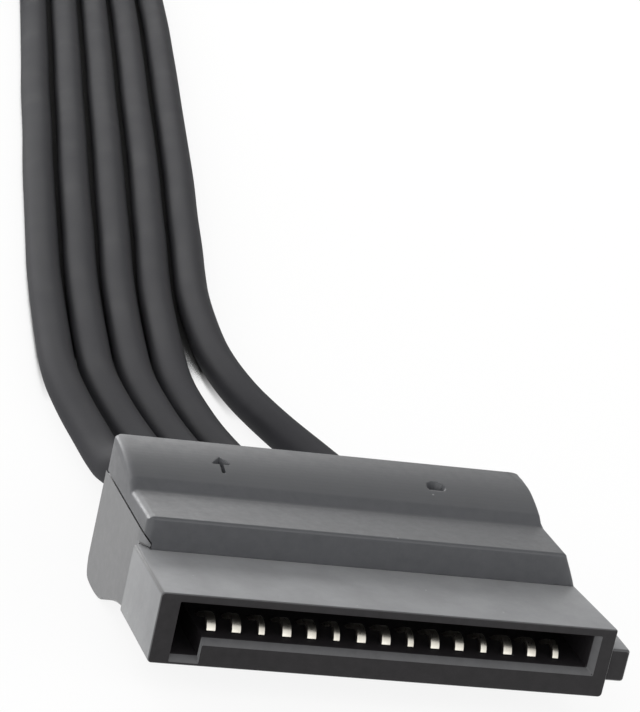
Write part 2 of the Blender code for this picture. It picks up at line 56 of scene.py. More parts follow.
camera = bpy.data.objects.new("camera", bpy.data.cameras.new("camera"))
bpy.context.collection.objects.link(camera)
bpy.context.scene.camera = camera
camera.data.lens = FOCAL_LENGTH_PX * SENSOR / IMAGE_HEIGHT_PX
camera.data.clip_start = 0.01
camera.data.clip_end = 10.0
camera.location = Vector(CAMERA_PLACE) * MM
camera.rotation_mode = "QUATERNION"
camera.rotation_quaternion = Vector(LOOK_ALONG).to_track_quat("-Z", "Y") @ Quaternion(
    (0, 0, 1), math.radians(CAMERA_ROLL)
)

# Wires: five stranded copper wires, each in soft black PVC extruded round it. They leave the
# receptacle a contact group apart, close up side by side on the surface, and are gathered three
# over two where their spare length is folded twice and tied, and fan out again into the plug.
# MIDDLE is the model's origin: the middle of the receptacle's footprint, on the surface.
MIDDLE = np.array((0.35, 6.6, -1.5))
WIRES = 5
WIRE_DIAMETER = 2.1
WIRE_RADIUS = WIRE_DIAMETER / 2
WIRE_PITCH = 3.81
WIRE_Z = 4.0
WIRE_START = 10.0
REAR_Y = 13.2
FLOOR_Z = MIDDLE[2] + WIRE_RADIUS + 0.01
LAY_PITCH = 2.4
SECOND_LAYER = LAY_PITCH * math.sqrt(3) / 2
RIBBON_PITCH = 2.47
GATHER_FROM = 3.0
GATHER_LENGTH = 12.0
CLIMB_SHARE = 0.6

# The route to the hank: the place along Y, the height, and each wire's X.
ROUTE = [
    (14.2, 4.0, (-7.62, -3.81, 0.0, 3.81, 7.62)),
    (17.0, 3.5, (-7.65, -3.9, -0.2, 3.55, 7.58)),
    (20.0, 2.1, (-7.7, -4.2, -0.85, 2.55, 7.32)),
    (23.0, 0.65, (-7.68, -4.55, -1.65, 1.3, 6.85)),
    (26.0, -0.22, (-7.55, -4.75, -2.25, 0.35, 6.25)),
    (30.5, -0.43, (-7.45, -4.95, -2.6, -0.2, 5.35)),
    (35.0, -0.44, (-7.4, -5.0, -2.68, -0.36, 4.35)),
    (40.0, -0.44, (-7.1, -4.78, -2.46, -0.14, 3.7)),
    (46.0, -0.44, (-6.2, -3.88, -1.56, 0.76, 3.72)),
    (54.0, -0.44, (-4.85, -2.5, -0.15, 2.2, 4.72)),
    (60.0, -0.44, (-3.75, -1.35, 1.05, 3.45, 5.9)),
    (66.0, -0.44, (-2.55, -0.1, 2.35, 4.8, 7.25)),
    (73.0, -0.44, (-1.15, 1.3, 3.8, 6.3, 8.75)),
    (81.0, -0.44, (0.45, 2.95, 5.5, 8.05, 10.55)),
    (90.0, -0.44, (2.35, 4.85, 7.4, 9.95, 12.45)),
    (100.0, -0.44, (4.35, 6.9, 9.45, 12.0, 14.55)),
    (108.0, -0.44, (6.05, 8.6, 11.15, 13.7, 16.25)),
    (115.0, -0.44, (7.5, 10.05, 12.6, 15.15, 17.7)),
    (122.0, -0.44, (8.95, 11.5, 14.05, 16.6, 19.15)),
    (130.0, -0.44, (10.6, 13.15, 15.7, 18.2, 20.7)),
]

# The hank's runs and bends, in the order of the line: radii in millimetres, angles in degrees.
HANK_START = (17.05, 137.2)
HANK_HEADING = 79.4
ENTRY_RUN = 8.57
FOLD_RADIUS = 8.7
FOLD_ANGLE = 45.02
ENTRY_RADIUS = 21.9
PASS_RADIUS = 15.9
NECK_RADIUS = 7.5
PASS_ANGLE = 38.55
NECK_RUN = 1.72
WAIST_RUN = 4.0
LEAVING_RUN = 12.1
LINE_STEP = 0.02
HANK_STEP = 1.8
WAIST_Y = 163.96
TIE_LIFT = 0.8
TIE_REACH = 7.5
TIE_EASE = 5.5

PLUG_X = -5.6
PLUG_Y = 218.92
PLUG_SHIFT = 1.7

# The way from the hank to the plug: shares of the length, and of the way across and up.
TAIL_SHARES = [(0.2, 0.04), (0.4, 0.22), (0.6, 0.5), (0.8, 0.8), (0.93, 0.96), (1.0, 1.0)]


def smooth(points, steps):
    """A smooth path through the rows of points.

    Between two rows the place is a cubic of t, from 0 to 1, that leaves and arrives along half the
    step between the rows on either side.
    """
    last = len(points) - 1
    rows = np.arange(last)
    four = np.stack([points[np.clip(rows + k, 0, last)] for k in (-1, 0, 1, 2)])
    t = np.arange(steps) / steps
    weights = np.stack(
        [
            (-t + 2 * t**2 - t**3) / 2,
            (2 - 5 * t**2 + 3 * t**3) / 2,
            (t + 4 * t**2 - 3 * t**3) / 2,
            (t**3 - t**2) / 2,
        ]
    )
    path = np.einsum("kt,kn...->nt...", weights, four)
    return np.concatenate([path.reshape(-1, *points.shape[1:]), points[-1:]])


def ease(share):
    """Rises from 0 to 1 with level ends: 3 s^2 - 2 s^3, with s held between 0 and 1."""
    s = np.clip(share, 0, 1)
    return s * s * (3 - 2 * s)


def turned(radius, angle):
    """A stretch of the hank's line: its length round that radius, and the angle that it turns by."""
    return radius * math.radians(abs(angle)), angle


def hank_line(step):
    """The middle of the bunch along the hank: distances, places and headings.

    The heading turns at a steady rate along each stretch, and the place is the running sum of the
    heading's cosine and sine over steps much shorter than those kept.
    """
    aside = [turned(PASS_RADIUS, PASS_ANGLE), turned(NECK_RADIUS, -PASS_ANGLE), (NECK_RUN, 0.0)]
    half_turn = 180 + 2 * FOLD_ANGLE
    loop = [turned(FOLD_RADIUS, angle) for angle in (-FOLD_ANGLE, half_turn, -FOLD_ANGLE)]
    back = [(length, -angle) for length, angle in loop]
    out = [(length, -angle) for length, angle in aside[::-1]]
    entry = [(ENTRY_RUN, 0.0), turned(ENTRY_RADIUS, 90 - HANK_HEADING)]
    waist, leaving = (WAIST_RUN, 0.0), (LEAVING_RUN, 0.0)
    lengths, angles = np.array([*entry, *aside, *loop, waist, *back, *out, leaving]).T
    ends = np.concatenate([[0.0], np.cumsum(lengths)])
    headings = HANK_HEADING + np.concatenate([[0.0], np.cumsum(angles)])
    along = np.arange(0.0, ends[-1], LINE_STEP)
    heading = np.radians(np.interp(along + LINE_STEP / 2, ends, headings))
    x = HANK_START[0] + LINE_STEP * np.cumsum(np.cos(heading))
    y = HANK_START[1] + LINE_STEP * np.cumsum(np.sin(heading))
    kept = slice(0, None, round(step / LINE_STEP))
    return along[kept], x[kept], y[kept], heading[kept]


def wire_paths():
    """The five wires' lines, as places of wire, point and axis.

    On the hank each wire lies to the right of the bunch's line, square to its heading, by its place
    in the row times a pitch that closes from a ribbon's to half the bunch's, while every second
    wire climbs onto the other three.
    """
    wire = np.arange(WIRES)[:, None]
    row = wire - (WIRES - 1) / 2
    over = wire % 2
    ys = np.array([y for y, z, xs in ROUTE])
    zs = np.array([z for y, z, xs in ROUTE])
    xs = np.array([xs for y, z, xs in ROUTE]).T
    lead = np.stack([xs, ys + 0 * wire, zs + 0 * wire], axis=-1)
    start = row * (WIRE_PITCH, 0, 0) + (0, WIRE_START, WIRE_Z)
    lead = np.concatenate([start[:, None], lead], axis=1)

    s, x, y, heading = hank_line(HANK_STEP)
    close = ease((s - GATHER_FROM) / GATHER_LENGTH)
    climb = ease(s / (GATHER_LENGTH * CLIMB_SHARE))
    aside = row * (RIBBON_PITCH + close * (LAY_PITCH / 2 - RIBBON_PITCH))
    lift = TIE_LIFT * ease((TIE_REACH - np.abs(y - WAIST_Y)) / TIE_EASE)
    height = FLOOR_Z + lift + over * climb * SECOND_LAYER
    hank = np.stack([x + aside * np.sin(heading), y - aside * np.cos(heading), height], axis=-1)

    along, share = np.array(TAIL_SHARES).T
    end_y = PLUG_Y - REAR_Y - PLUG_SHIFT
    near = hank[:, -1]
    far = row * (WIRE_PITCH, 0, 0) + (PLUG_X, end_y, WIRE_Z)
    amount = np.stack([share, along, share], axis=-1)
    tail = near[:, None] + amount * (far - near)[:, None]
    inside = far[:, None] + (0.0, REAR_Y - WIRE_START, 0.0)
    lead = smooth(lead.swapaxes(0, 1), 3).swapaxes(0, 1)[:, :-1]
    points = np.concatenate([lead, hank, tail, inside], axis=1)
    return smooth(points.swapaxes(0, 1), 2).swapaxes(0, 1)


def linear(hex_colour):
    """Linear red, green, blue and alpha from an sRGB hex value, by the sRGB curve."""
    values = np.array([int(hex_colour[i : i + 2], 16) / 255 for i in (0, 2, 4)])
    curve = np.where(values <= 0.04045, values / 12.92, ((values + 0.055) / 1.055) ** 2.4)
    return (*curve.tolist(), 1.0)


def node(tree, kind, inputs=None, **settings):
    """Adds one shader node. Each input, named or numbered, takes a value or another node's socket."""
    made = tree.nodes.new("ShaderNode" + kind)
    for name, value in settings.items():
        setattr(made, name, value)
    for name, value in (inputs or {}).items():
        if isinstance(value, bpy.types.NodeSocket):
            tree.links.new(value, made.inputs[name])
        else:
            made.inputs[name].default_value = value
    return made


def new_material(name):
    """An empty node material, with its tree and its output node."""
    made = bpy.data.materials.new(name)
    made.use_nodes = True
    made.node_tree.nodes.clear()
    return made, made.node_tree, node(made.node_tree, "OutputMaterial")


def extruded_pvc():
    """Soft PVC drawn through a die: a dull satin black, faintly clouded, with a fine grain.

    The real grain is too fine to show, so it is drawn at 0.12 mm.
    """
    made, tree, output = new_material("extruded_pvc")
    place = node(tree, "TexCoord").outputs["Object"]
    mottle = node(tree, "TexNoise", {"Vector": place, "Scale": 1 / (3.0 * MM), "Detail": 5.0})
    grain = node(tree, "TexNoise", {"Vector": place, "Scale": 1 / (0.12 * MM), "Detail": 2.0})
    colour = node(tree, "ValToRGB", {"Fac": mottle.outputs["Fac"]})
    colour.color_ramp.elements[0].position = 0.3
    colour.color_ramp.elements[1].position = 0.72
    colour.color_ramp.elements[0].color = linear("242427")
    colour.color_ramp.elements[1].color = linear("303033")
    rough = node(
        tree,
        "MapRange",
        {"Value": mottle.outputs["Fac"], "From Min": 0.3, "From Max": 0.7, "To Min": 0.56, "To Max": 0.68},
    )
    bump = node(tree, "Bump", {"Height": grain.outputs["Fac"], "Strength": 0.25, "Distance": 0.01 * MM})
    shader = node(
        tree,
        "BsdfPrincipled",
        {
            "Base Color": colour.outputs["Color"],
            "Roughness": rough.outputs["Result"],
            "IOR": 1.53,
            "Specular IOR Level": 0.05,
            "Normal": bump.outputs["Normal"],
        },
    )
    tree.links.new(shader.outputs["BSDF"], output.inputs["Surface"])
    return made


def cord_curve(name, points, material):
    """A round tube with closed ends, along an open line of points."""
    curve = bpy.data.curves.new(name, "CURVE")
    curve.dimensions = "3D"
    curve.bevel_depth = WIRE_RADIUS * MM
    curve.bevel_resolution = 9
    curve.use_fill_caps = True
    line = curve.splines.new("POLY")
    line.points.add(len(points) - 1)
    line.points.foreach_set("co", np.pad(points, ((0, 0), (0, 1)), constant_values=1.0).ravel())
    curve.materials.append(material)
    made = bpy.data.objects.new(name, curve)
    bpy.context.collection.objects.link(made)
    return made


pvc = extruded_pvc()
for i, points in enumerate((wire_paths() - MIDDLE) * MM):
    cord = cord_curve(f"insulated_wire_{i + 1}", points, pvc)
    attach(cord, "root")
    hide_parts(f"wire_{i + 1}", f"wire_{i + 1}_end", "wire_hank")

# Receptacle housing: one piece of black polyester, moulded round steel cores. The slot for the
# tongue opens in its front box, with a lead-in all round, and the block behind it is a saddle for
# the wires, between two end walls, that stands on a foot.
FRONT_LEFT = -11.8
FRONT_RIGHT = 11.6
BOX_TOP = 3.65
BOX_DEPTH = 5.7
BOX_CORNERS = (0.2, 0.1, 0.1, 0.2, 0.1, 0.22)
BOX_TAPER = 0.09
KEY_STEPS = (0.3, 0.9)
BOX_RIM = 0.1
LEAST_CORNER = 0.02
SLOT_LEFT = -10.75
SLOT_RIGHT = 10.5
SLOT_FLOOR = 1.46
SLOT_TOP = 3.2
SLOT_BACK = 5.5
SLOT_CORNER = 0.06
KEY_WIDTH = 1.4
KEY_FLOOR = 0.49
LEAD_IN = 0.31
TOP_LEAD_SHARE = 0.15
EDGE_BREAK = 0.04
TAB_OUT = 0.96
TAB_LOW = 0.88
TAB_HIGH = 2.6
TAB_FRONT = 0.06
TAB_DEPTH = 2.0
TAB_ROUND = 0.16
TAB_ROOT = 0.2
REAR_LEFT = -11.55
REAR_RIGHT = 10.95
FOOT = -1.5
WALL_TOP = 4.3
NOSE_LOW = 3.78
NOSE_BACK = 0.65
NOSE_WIDTH = 0.43
NOSE_TIP = 0.06
NOSE_LIP = (0.03, 0.06)
WALL_FRONT = 5.0
LEFT_WALL = 0.95
RIGHT_WALL = 0.9
RIGHT_WALL_FRONT = 6.2
BLOCK_EDGE = 0.12
WALL_GROOVE = (0.12, 0.14)
SIDE_LEAD_IN = 0.12
FILM_FADE = 0.3
HOLE_RADIUS = 1.2
HOLE_START = 9.7
HOLE_STEP = 0.01
REAR_FOOT = [
    (5.0, 0.02),
    (5.7, 0.02),
    (7.5, -0.3),
    (9.2, -0.95),
    (10.6, FOOT),
    (12.5, FOOT),
    (13.0, -1.15),
    (REAR_Y, -0.5),
]
WELD = 1e-4 * MM
SHARP_ANGLE = math.radians(32)


def rounded(corners, radii, steps=5):
    """A closed outline whose corners are arcs that touch the edges on both sides.

    Each arc starts its radius times the tangent of half the turn before the corner, and its points
    are the arm from the arc's centre turned in even steps. Where the outline doesn't turn, the
    points are spread evenly over the radius on either side.
    """
    corner = np.array(corners, dtype=float)
    radius = np.broadcast_to(radii, len(corner)).astype(float)
    into = corner - np.roll(corner, 1, axis=0)
    into /= np.linalg.norm(into, axis=1, keepdims=True)
    out = np.roll(into, -1, axis=0)
    turn = np.arctan2(into[:, 0] * out[:, 1] - into[:, 1] * out[:, 0], (into * out).sum(axis=1))
    straight = np.abs(turn) < 0.01
    reach = np.where(straight, radius, radius * np.tan(np.abs(turn) / 2))
    start = corner - into * reach[:, None]
    end = corner + out * reach[:, None]
    arm = np.stack([into[:, 1], -into[:, 0]], axis=1) * (np.sign(turn) * radius)[:, None]
    share = np.linspace(0.0, 1.0, steps)
    angle = turn[:, None] * share
    cos, sin = np.cos(angle)[..., None], np.sin(angle)[..., None]
    side = np.stack([-arm[:, 1], arm[:, 0]], axis=1)
    arcs = (start - arm)[:, None] + arm[:, None] * cos + side[:, None] * sin
    lines = start[:, None] + (end - start)[:, None] * share[:, None]
    return np.where(straight[:, None, None], lines, arcs).reshape(-1, 2)


def across(outline, y):
    """A row of a body lofted along Y: the outline's points are X and Z, and y is one or each."""
    return np.stack([outline[:, 0], outline[:, 0] * 0 + y, outline[:, 1]], axis=-1)


def loft_mesh(name, bodies, rings=()):
    """One mesh of closed bodies, each through rows of outlines that have equally many points.

    A point joins the next one of its own row and the same two of the next row. A body's first and
    last rows are capped, and a ring's last row joins its first. Places that meet are welded.
    """
    places, faces, first = [], [], 0
    for rows in (*bodies, *rings):
        ring = any(rows is one for one in rings)
        ids = first + np.arange(rows.shape[0] * rows.shape[1]).reshape(rows.shape[:2])
        near = ids if ring else ids[:-1]
        far = np.roll(ids, -1, axis=0) if ring else ids[1:]
        quads = np.stack([near, np.roll(near, -1, 1), np.roll(far, -1, 1), far], axis=-1)
        faces += quads.reshape(-1, 4).tolist()
        if not ring:
            faces += [ids[0][::-1].tolist(), ids[-1].tolist()]
        places.append(rows.reshape(-1, 3))
        first += ids.size
    mesh = bpy.data.meshes.new(name)
    mesh.from_pydata(((np.concatenate(places) - MIDDLE) * MM).tolist(), [], faces)
    shape = bmesh.new()
    shape.from_mesh(mesh)
    bmesh.ops.remove_doubles(shape, verts=shape.verts, dist=WELD)
    bmesh.ops.dissolve_degenerate(shape, edges=shape.edges, dist=WELD)
    bmesh.ops.recalc_face_normals(shape, faces=shape.faces)
    shape.to_mesh(mesh)
    shape.free()
    mesh.shade_smooth()
    mesh.set_sharp_from_angle(angle=SHARP_ANGLE)
    return mesh


def add_piece(name, mesh, material, slot, *nodes):
    """An object on the one body that stands for the named solids, and its material if it has one."""
    if material:
        mesh.materials.append(material)
    made = bpy.data.objects.new(name, mesh)
    bpy.context.collection.objects.link(made)
    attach(made, "root")
    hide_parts(*nodes)
    return made


def rim_steps(radius, steps=4):
    """Distances back from a rounded rim and inwards, by the sine and cosine of even angles."""
    angle = np.linspace(0.0, math.pi / 2, steps)
    return list(zip(radius * (1 - np.sin(angle)), radius * (1 - np.cos(angle))))


def front_box():
    """The front box and its slot as one skin, from its back over the rim to the slot's end.

    The rows are the box's outline, drawn in by the rim's arc at the face, and then the slot's, grown
    by what is left of the lead-in at their depth.
    """

    def outer(inset, y):
        low, high = inset, BOX_TOP - inset
        left, right = FRONT_LEFT + inset, FRONT_RIGHT - inset - BOX_TAPER * y
        under_key = [(SLOT_LEFT + KEY_WIDTH + step, low) for step in KEY_STEPS]
        corners = [(left, low), *under_key, (right, low), (right, high), (left, high)]
        return rounded(corners, np.maximum(np.array(BOX_CORNERS) - inset, LEAST_CORNER))

    def slot(grow):
        key = SLOT_LEFT + KEY_WIDTH + grow * SIDE_LEAD_IN
        left, right = SLOT_LEFT - grow * SIDE_LEAD_IN, SLOT_RIGHT + grow
        floor, top = SLOT_FLOOR - grow, SLOT_TOP + grow * TOP_LEAD_SHARE
        corners = [(left, KEY_FLOOR - grow), (key, KEY_FLOOR - grow), (key, floor)]
        return rounded([*corners, (right, floor), (right, top), (left, top)], SLOT_CORNER)

    back = [(BOX_DEPTH, BOX_RIM), (BOX_DEPTH - BOX_RIM, 0.0)]
    rows = [across(outer(inset, y), y) for y, inset in back + rim_steps(BOX_RIM)]
    rows += [across(slot(LEAD_IN + EDGE_BREAK - y), y) for y in (0.0, EDGE_BREAK * 0.3)]
    rows += [across(slot(LEAD_IN - y), y) for y in (EDGE_BREAK, LEAD_IN - EDGE_BREAK)]
    rows += [across(slot(0.0), y) for y in (LEAD_IN + EDGE_BREAK, 1.5, 3.5, SLOT_BACK)]
    return np.stack(rows)


def saddle_block(stations, shift=0.0):
    """The block behind a connector's face, in rows along Y at (y, underside, left, right, seat).

    Between its end walls the top is the seat, or the lower half of a round hole of one radius about
    each wire where that is lower. In front, the left wall tapers to a nose over the front box, and
    its top is cut back by a groove under the cap's seam.
    """
    left, right, edge = REAR_LEFT, REAR_RIGHT, BLOCK_EDGE
    inner_left, inner_right = left + LEFT_WALL, right - RIGHT_WALL
    wires = (np.arange(WIRES) - (WIRES - 1) / 2) * WIRE_PITCH
    swing = np.cos(np.linspace(0.0, math.pi, 13)) * HOLE_RADIUS
    seat_x = np.sort((wires[:, None] + swing).ravel())[::-1]
    aside = np.abs(seat_x[:, None] - wires).min(axis=1)
    hole = WIRE_Z - np.sqrt(np.clip(HOLE_RADIUS**2 - aside**2, 0.0, None))
    right_x = [left + edge, right - edge, right, right, right - edge, inner_right, inner_right]
    rows = []
    for y, low, wall_left, wall_right, seat in stations:
        nose = y <= BOX_DEPTH and seat < BOX_TOP
        lip, drop = NOSE_LIP if y == WALL_FRONT else WALL_GROOVE
        tip = (NOSE_WIDTH - NOSE_TIP) * (y == WALL_FRONT)
        inner = left + NOSE_WIDTH if nose else inner_left
        slope = NOSE_WIDTH * nose
        end = left + tip
        x = np.concatenate([right_x, seat_x, [inner, inner, end + lip, end, end, end, end]])
        seats = np.minimum(seat, hole) if y >= HOLE_START + shift else seat + 0 * hole
        right_side = [low, low, low + edge, wall_right - edge, wall_right, wall_right, seat]
        crown = wall_left - tip
        left_side = [seat, wall_left - slope - drop, crown - drop, crown, NOSE_LOW, BOX_TOP, low + edge]
        z = np.concatenate([right_side, seats, left_side])
        back = np.clip((NOSE_LOW - z) / (NOSE_LOW - BOX_TOP), 0.0, 1.0) * NOSE_BACK
        rows.append(across(np.stack([x, z], axis=1), y + back * (y == WALL_FRONT)))
    return np.stack(rows)


def receptacle_block():
    """The receptacle's saddle block: its nose and left wall, then the seat, then the right wall.

    The underside at each place along Y is read off a smooth line through the foot's points.
    """
    hidden = BOX_TOP - 0.1
    foot = smooth(np.array(REAR_FOOT), 3)

    def low(y):
        return float(np.interp(y, foot[:, 0], foot[:, 1]))

    stations = [(y, low(y), WALL_TOP, hidden, hidden) for y in (WALL_FRONT, BOX_DEPTH)]
    stations += [(y, low(y), WALL_TOP, BOX_TOP, BOX_TOP) for y in (BOX_DEPTH, RIGHT_WALL_FRONT)]
    behind = foot[foot[:, 0] > RIGHT_WALL_FRONT, 0]
    ys = [RIGHT_WALL_FRONT, *behind[behind < HOLE_START], HOLE_START - HOLE_STEP]
    ys += [HOLE_START, *behind[behind > HOLE_START]]
    stations += [(y, low(y), WALL_TOP, WALL_TOP, BOX_TOP) for y in ys]
    return saddle_block(stations)


def side_tab():
    """The small lug on the box's right end: a rounded outline across X, with a rounded end."""
    under = [(TAB_FRONT, TAB_LOW), (TAB_DEPTH, TAB_LOW)]
    corners = np.array([*under, (TAB_DEPTH, TAB_HIGH), (TAB_FRONT, TAB_HIGH)])
    middle = corners.mean(axis=0)
    end = FRONT_RIGHT + TAB_OUT
    rim = [(end - back, inset) for back, inset in rim_steps(TAB_ROUND)]
    rows = []
    for x, inset in [(end - TAB_OUT - TAB_ROOT, 0.0), *rim]:
        outline = rounded(corners - np.sign(corners - middle) * inset, TAB_ROUND - inset * 0.8)
        rows.append(np.stack([outline[:, 0] * 0 + x, outline[:, 0], outline[:, 1]], axis=-1))
    return np.stack(rows)


def moulded_polyester(name, dark, grey, dust_and_light, rough, specular, sheen):
    """Black glass-filled polyester as it leaves a spark-eroded mould: an even, fine, satin grain.

    Skin that faces up carries a thin, cloudy, pale film that is partly dust and partly painted light
    for its lit tops, and the left end of the front box carries the same film as painted light from the
    left. A few pale fibres and specks show. The grain is drawn at 0.11 mm, so that it shows.
    """
    made, tree, output = new_material(name)
    place = node(tree, "TexCoord").outputs["Object"]
    cloud = node(
        tree, "TexNoise", {"Vector": place, "Scale": 1 / (2.6 * MM), "Detail": 6.0, "Roughness": 0.6}
    )
    fine = node(
        tree, "TexNoise", {"Vector": place, "Scale": 1 / (0.5 * MM), "Detail": 4.0, "Roughness": 0.65}
    )
    grain = node(tree, "TexNoise", {"Vector": place, "Scale": 1 / (0.11 * MM), "Detail": 3.0})
    speck = node(tree, "TexVoronoi", {"Vector": place, "Scale": 1 / (1.1 * MM), "Randomness": 1.0})

    tone = node(tree, "ValToRGB", {"Fac": fine.outputs["Fac"]})
    tone.color_ramp.elements[0].position = 0.3
    tone.color_ramp.elements[1].position = 0.75
    tone.color_ramp.elements[0].color = linear(dark)
    tone.color_ramp.elements[1].color = linear(grey)

    # Painted light: the pale film lightens skin that faces up (partly dust, partly painted top light) and
    # the front box's left end (painted light from the left), in cloudy patches.
    normal = node(tree, "SeparateXYZ", {"Vector": node(tree, "NewGeometry").outputs["Normal"]})
    upward = node(tree, "MapRange", {"Value": normal.outputs["Z"], "From Min": 0.85, "From Max": 0.99})
    leftward = node(tree, "MapRange", {"Value": normal.outputs["X"], "From Min": -0.85, "From Max": -0.99})
    # The left end's painted light is strong on the front box and fades to a little behind it.
    along = node(tree, "SeparateXYZ", {"Vector": place})
    left_light_reach = node(
        tree,
        "MapRange",
        {
            "Value": along.outputs["Y"],
            "From Min": (BOX_DEPTH - MIDDLE[1] - FILM_FADE) * MM,
            "From Max": (BOX_DEPTH - MIDDLE[1] + FILM_FADE) * MM,
            "To Min": 0.8,
            "To Max": 0.1,
        },
    )
    end = node(
        tree, "Math", {0: leftward.outputs["Result"], 1: left_light_reach.outputs["Result"]}, operation="MULTIPLY"
    )
    skin = node(tree, "Math", {0: upward.outputs["Result"], 1: end.outputs["Value"]}, operation="MAXIMUM")
    patch = node(
        tree,
        "MapRange",
        {"Value": cloud.outputs["Fac"], "From Min": 0.36, "From Max": 0.64, "To Min": 0.76},
    )
    film = node(tree, "Math", {0: skin.outputs["Value"], 1: patch.outputs["Result"]}, operation="MULTIPLY")
    dusted_and_lit = node(
        tree,
        "MixRGB",
        {"Fac": film.outputs["Value"], "Color1": tone.outputs["Color"], "Color2": linear(dust_and_light)},
    )

    small = node(
        tree,
        "MapRange",
        {
            "Value": speck.outputs["Distance"],
            "From Min": 0.035,
            "From Max": 0.06,
            "To Min": 1.0,
            "To Max": 0.0,
        },
    )
    chosen = node(tree, "SeparateColor", {"Color": speck.outputs["Color"]})
    rare = node(tree, "Math", {0: chosen.outputs["Red"], 1: 0.8}, operation="GREATER_THAN")
    spot = node(tree, "Math", {0: small.outputs["Result"], 1: rare.outputs["Value"]}, operation="MULTIPLY")
    faint = node(tree, "Math", {0: spot.outputs["Value"], 1: 0.35}, operation="MULTIPLY")
    colour = node(
        tree,
        "MixRGB",
        {"Fac": faint.outputs["Value"], "Color1": dusted_and_lit.outputs["Color"], "Color2": linear("b9bcbd")},
    )

    worn = node(
        tree,
        "MapRange",
        {
            "Value": fine.outputs["Fac"],
            "From Min": 0.3,
            "From Max": 0.7,
            "To Min": rough - 0.06,
            "To Max": rough + 0.06,
        },
    )
    coarse = node(tree, "Bump", {"Height": fine.outputs["Fac"], "Strength": 0.25, "Distance": 0.012 * MM})
    bump = node(
        tree,
        "Bump",
        {
            "Height": grain.outputs["Fac"],
            "Strength": 0.35,
            "Distance": 0.008 * MM,
            "Normal": coarse.outputs["Normal"],
        },
    )
    shader = node(
        tree,
        "BsdfPrincipled",
        {
            "Base Color": colour.outputs["Color"],
            "Roughness": worn.outputs["Result"],
            "IOR": 1.57,
            "Specular IOR Level": specular,
            "Sheen Weight": sheen,
            "Sheen Roughness": 0.4,
            "Normal": bump.outputs["Normal"],
        },
    )
    tree.links.new(shader.outputs["BSDF"], output.inputs["Surface"])
    return made


def shade_mating_face(mesh, material, low, high, place=lambda rows: rows):
    """Gives painted shade, a darker material, to the mating face and to the faces whose middles are in a
    block.

    The mating face is what faces -Y within a tenth of a millimetre of Y = 0. That and the block's
    corners are in the connector's own frame, which place leads to.
    """
    count = len(mesh.polygons)
    centre, normal = np.zeros(3 * count), np.zeros(3 * count)
    mesh.polygons.foreach_get("center", centre)
    mesh.polygons.foreach_get("normal", normal)
    middle = centre.reshape(-1, 3) / MM + MIDDLE
    ahead = place(middle + normal.reshape(-1, 3))
    middle = place(middle)
    front = (middle[:, 1] < 0.1) & (ahead[:, 1] - middle[:, 1] < -0.95)
    within = ((middle > low) & (middle < high)).all(axis=1)
    mesh.materials.append(material)
    mesh.polygons.foreach_set("material_index", (front | within).astype(int))


housing_plastic = moulded_polyester(
    "moulded_housing_polyester", "3e3e40", "49494b", "838486", rough=0.46, specular=0.5, sheen=0.28
)
# The darker mating material is painted shade, for the dim front face and the slot's recess.
mating_shade_plastic = moulded_polyester(
    "shaded_mating_polyester", "151315", "201e20", "201e20", rough=0.42, specular=0.24, sheen=0.0
)
housing_mesh = loft_mesh("receptacle_moulding", [front_box(), receptacle_block(), side_tab()])
housing_mesh.materials.append(housing_plastic)
slot_low = (SLOT_LEFT - 0.4, LEAD_IN, KEY_FLOOR - 0.1)
slot_high = (SLOT_RIGHT + 0.4, BOX_DEPTH, SLOT_TOP + 0.05)
shade_mating_face(housing_mesh, mating_shade_plastic, slot_low, slot_high)
add_piece("receptacle_moulding", housing_mesh, None, "black_housing", "receptacle_housing")

# Receptacle terminals: five stamped and folded strips of tinned phosphor bronze. Each has three
# springs whose rounded tips press up against the tongue, a web that joins them, and a slotted fork
# that cuts through the insulation of its wire and grips the strands.
PITCH = 1.27
SHEET = 0.2
SPRING_WIDTHS = (0.44, 0.44, 0.3)
SPRING_ASIDE = 0.15
FORK_Y = 9.5
FORK_TOP = 4.8
FORK_HALF = 0.95
FORK_SLOT = 0.7
FORK_BEND = 0.35
BEND_SHARE = 0.3
FORK_ROOT = 2.7
STAMPED_EDGE = 0.04
SPRING_TIP = [(0.93, 1.5), (0.97, 1.62), (1.07, 1.78), (1.22, 1.92), (1.42, 2.0), (1.65, 2.02)]
SPRING = [*SPRING_TIP, (1.95, 1.94), (2.4, 1.7), (3.0, 1.35), (3.8, 1.2), (5.5, 1.2), (6.4, 1.2)]


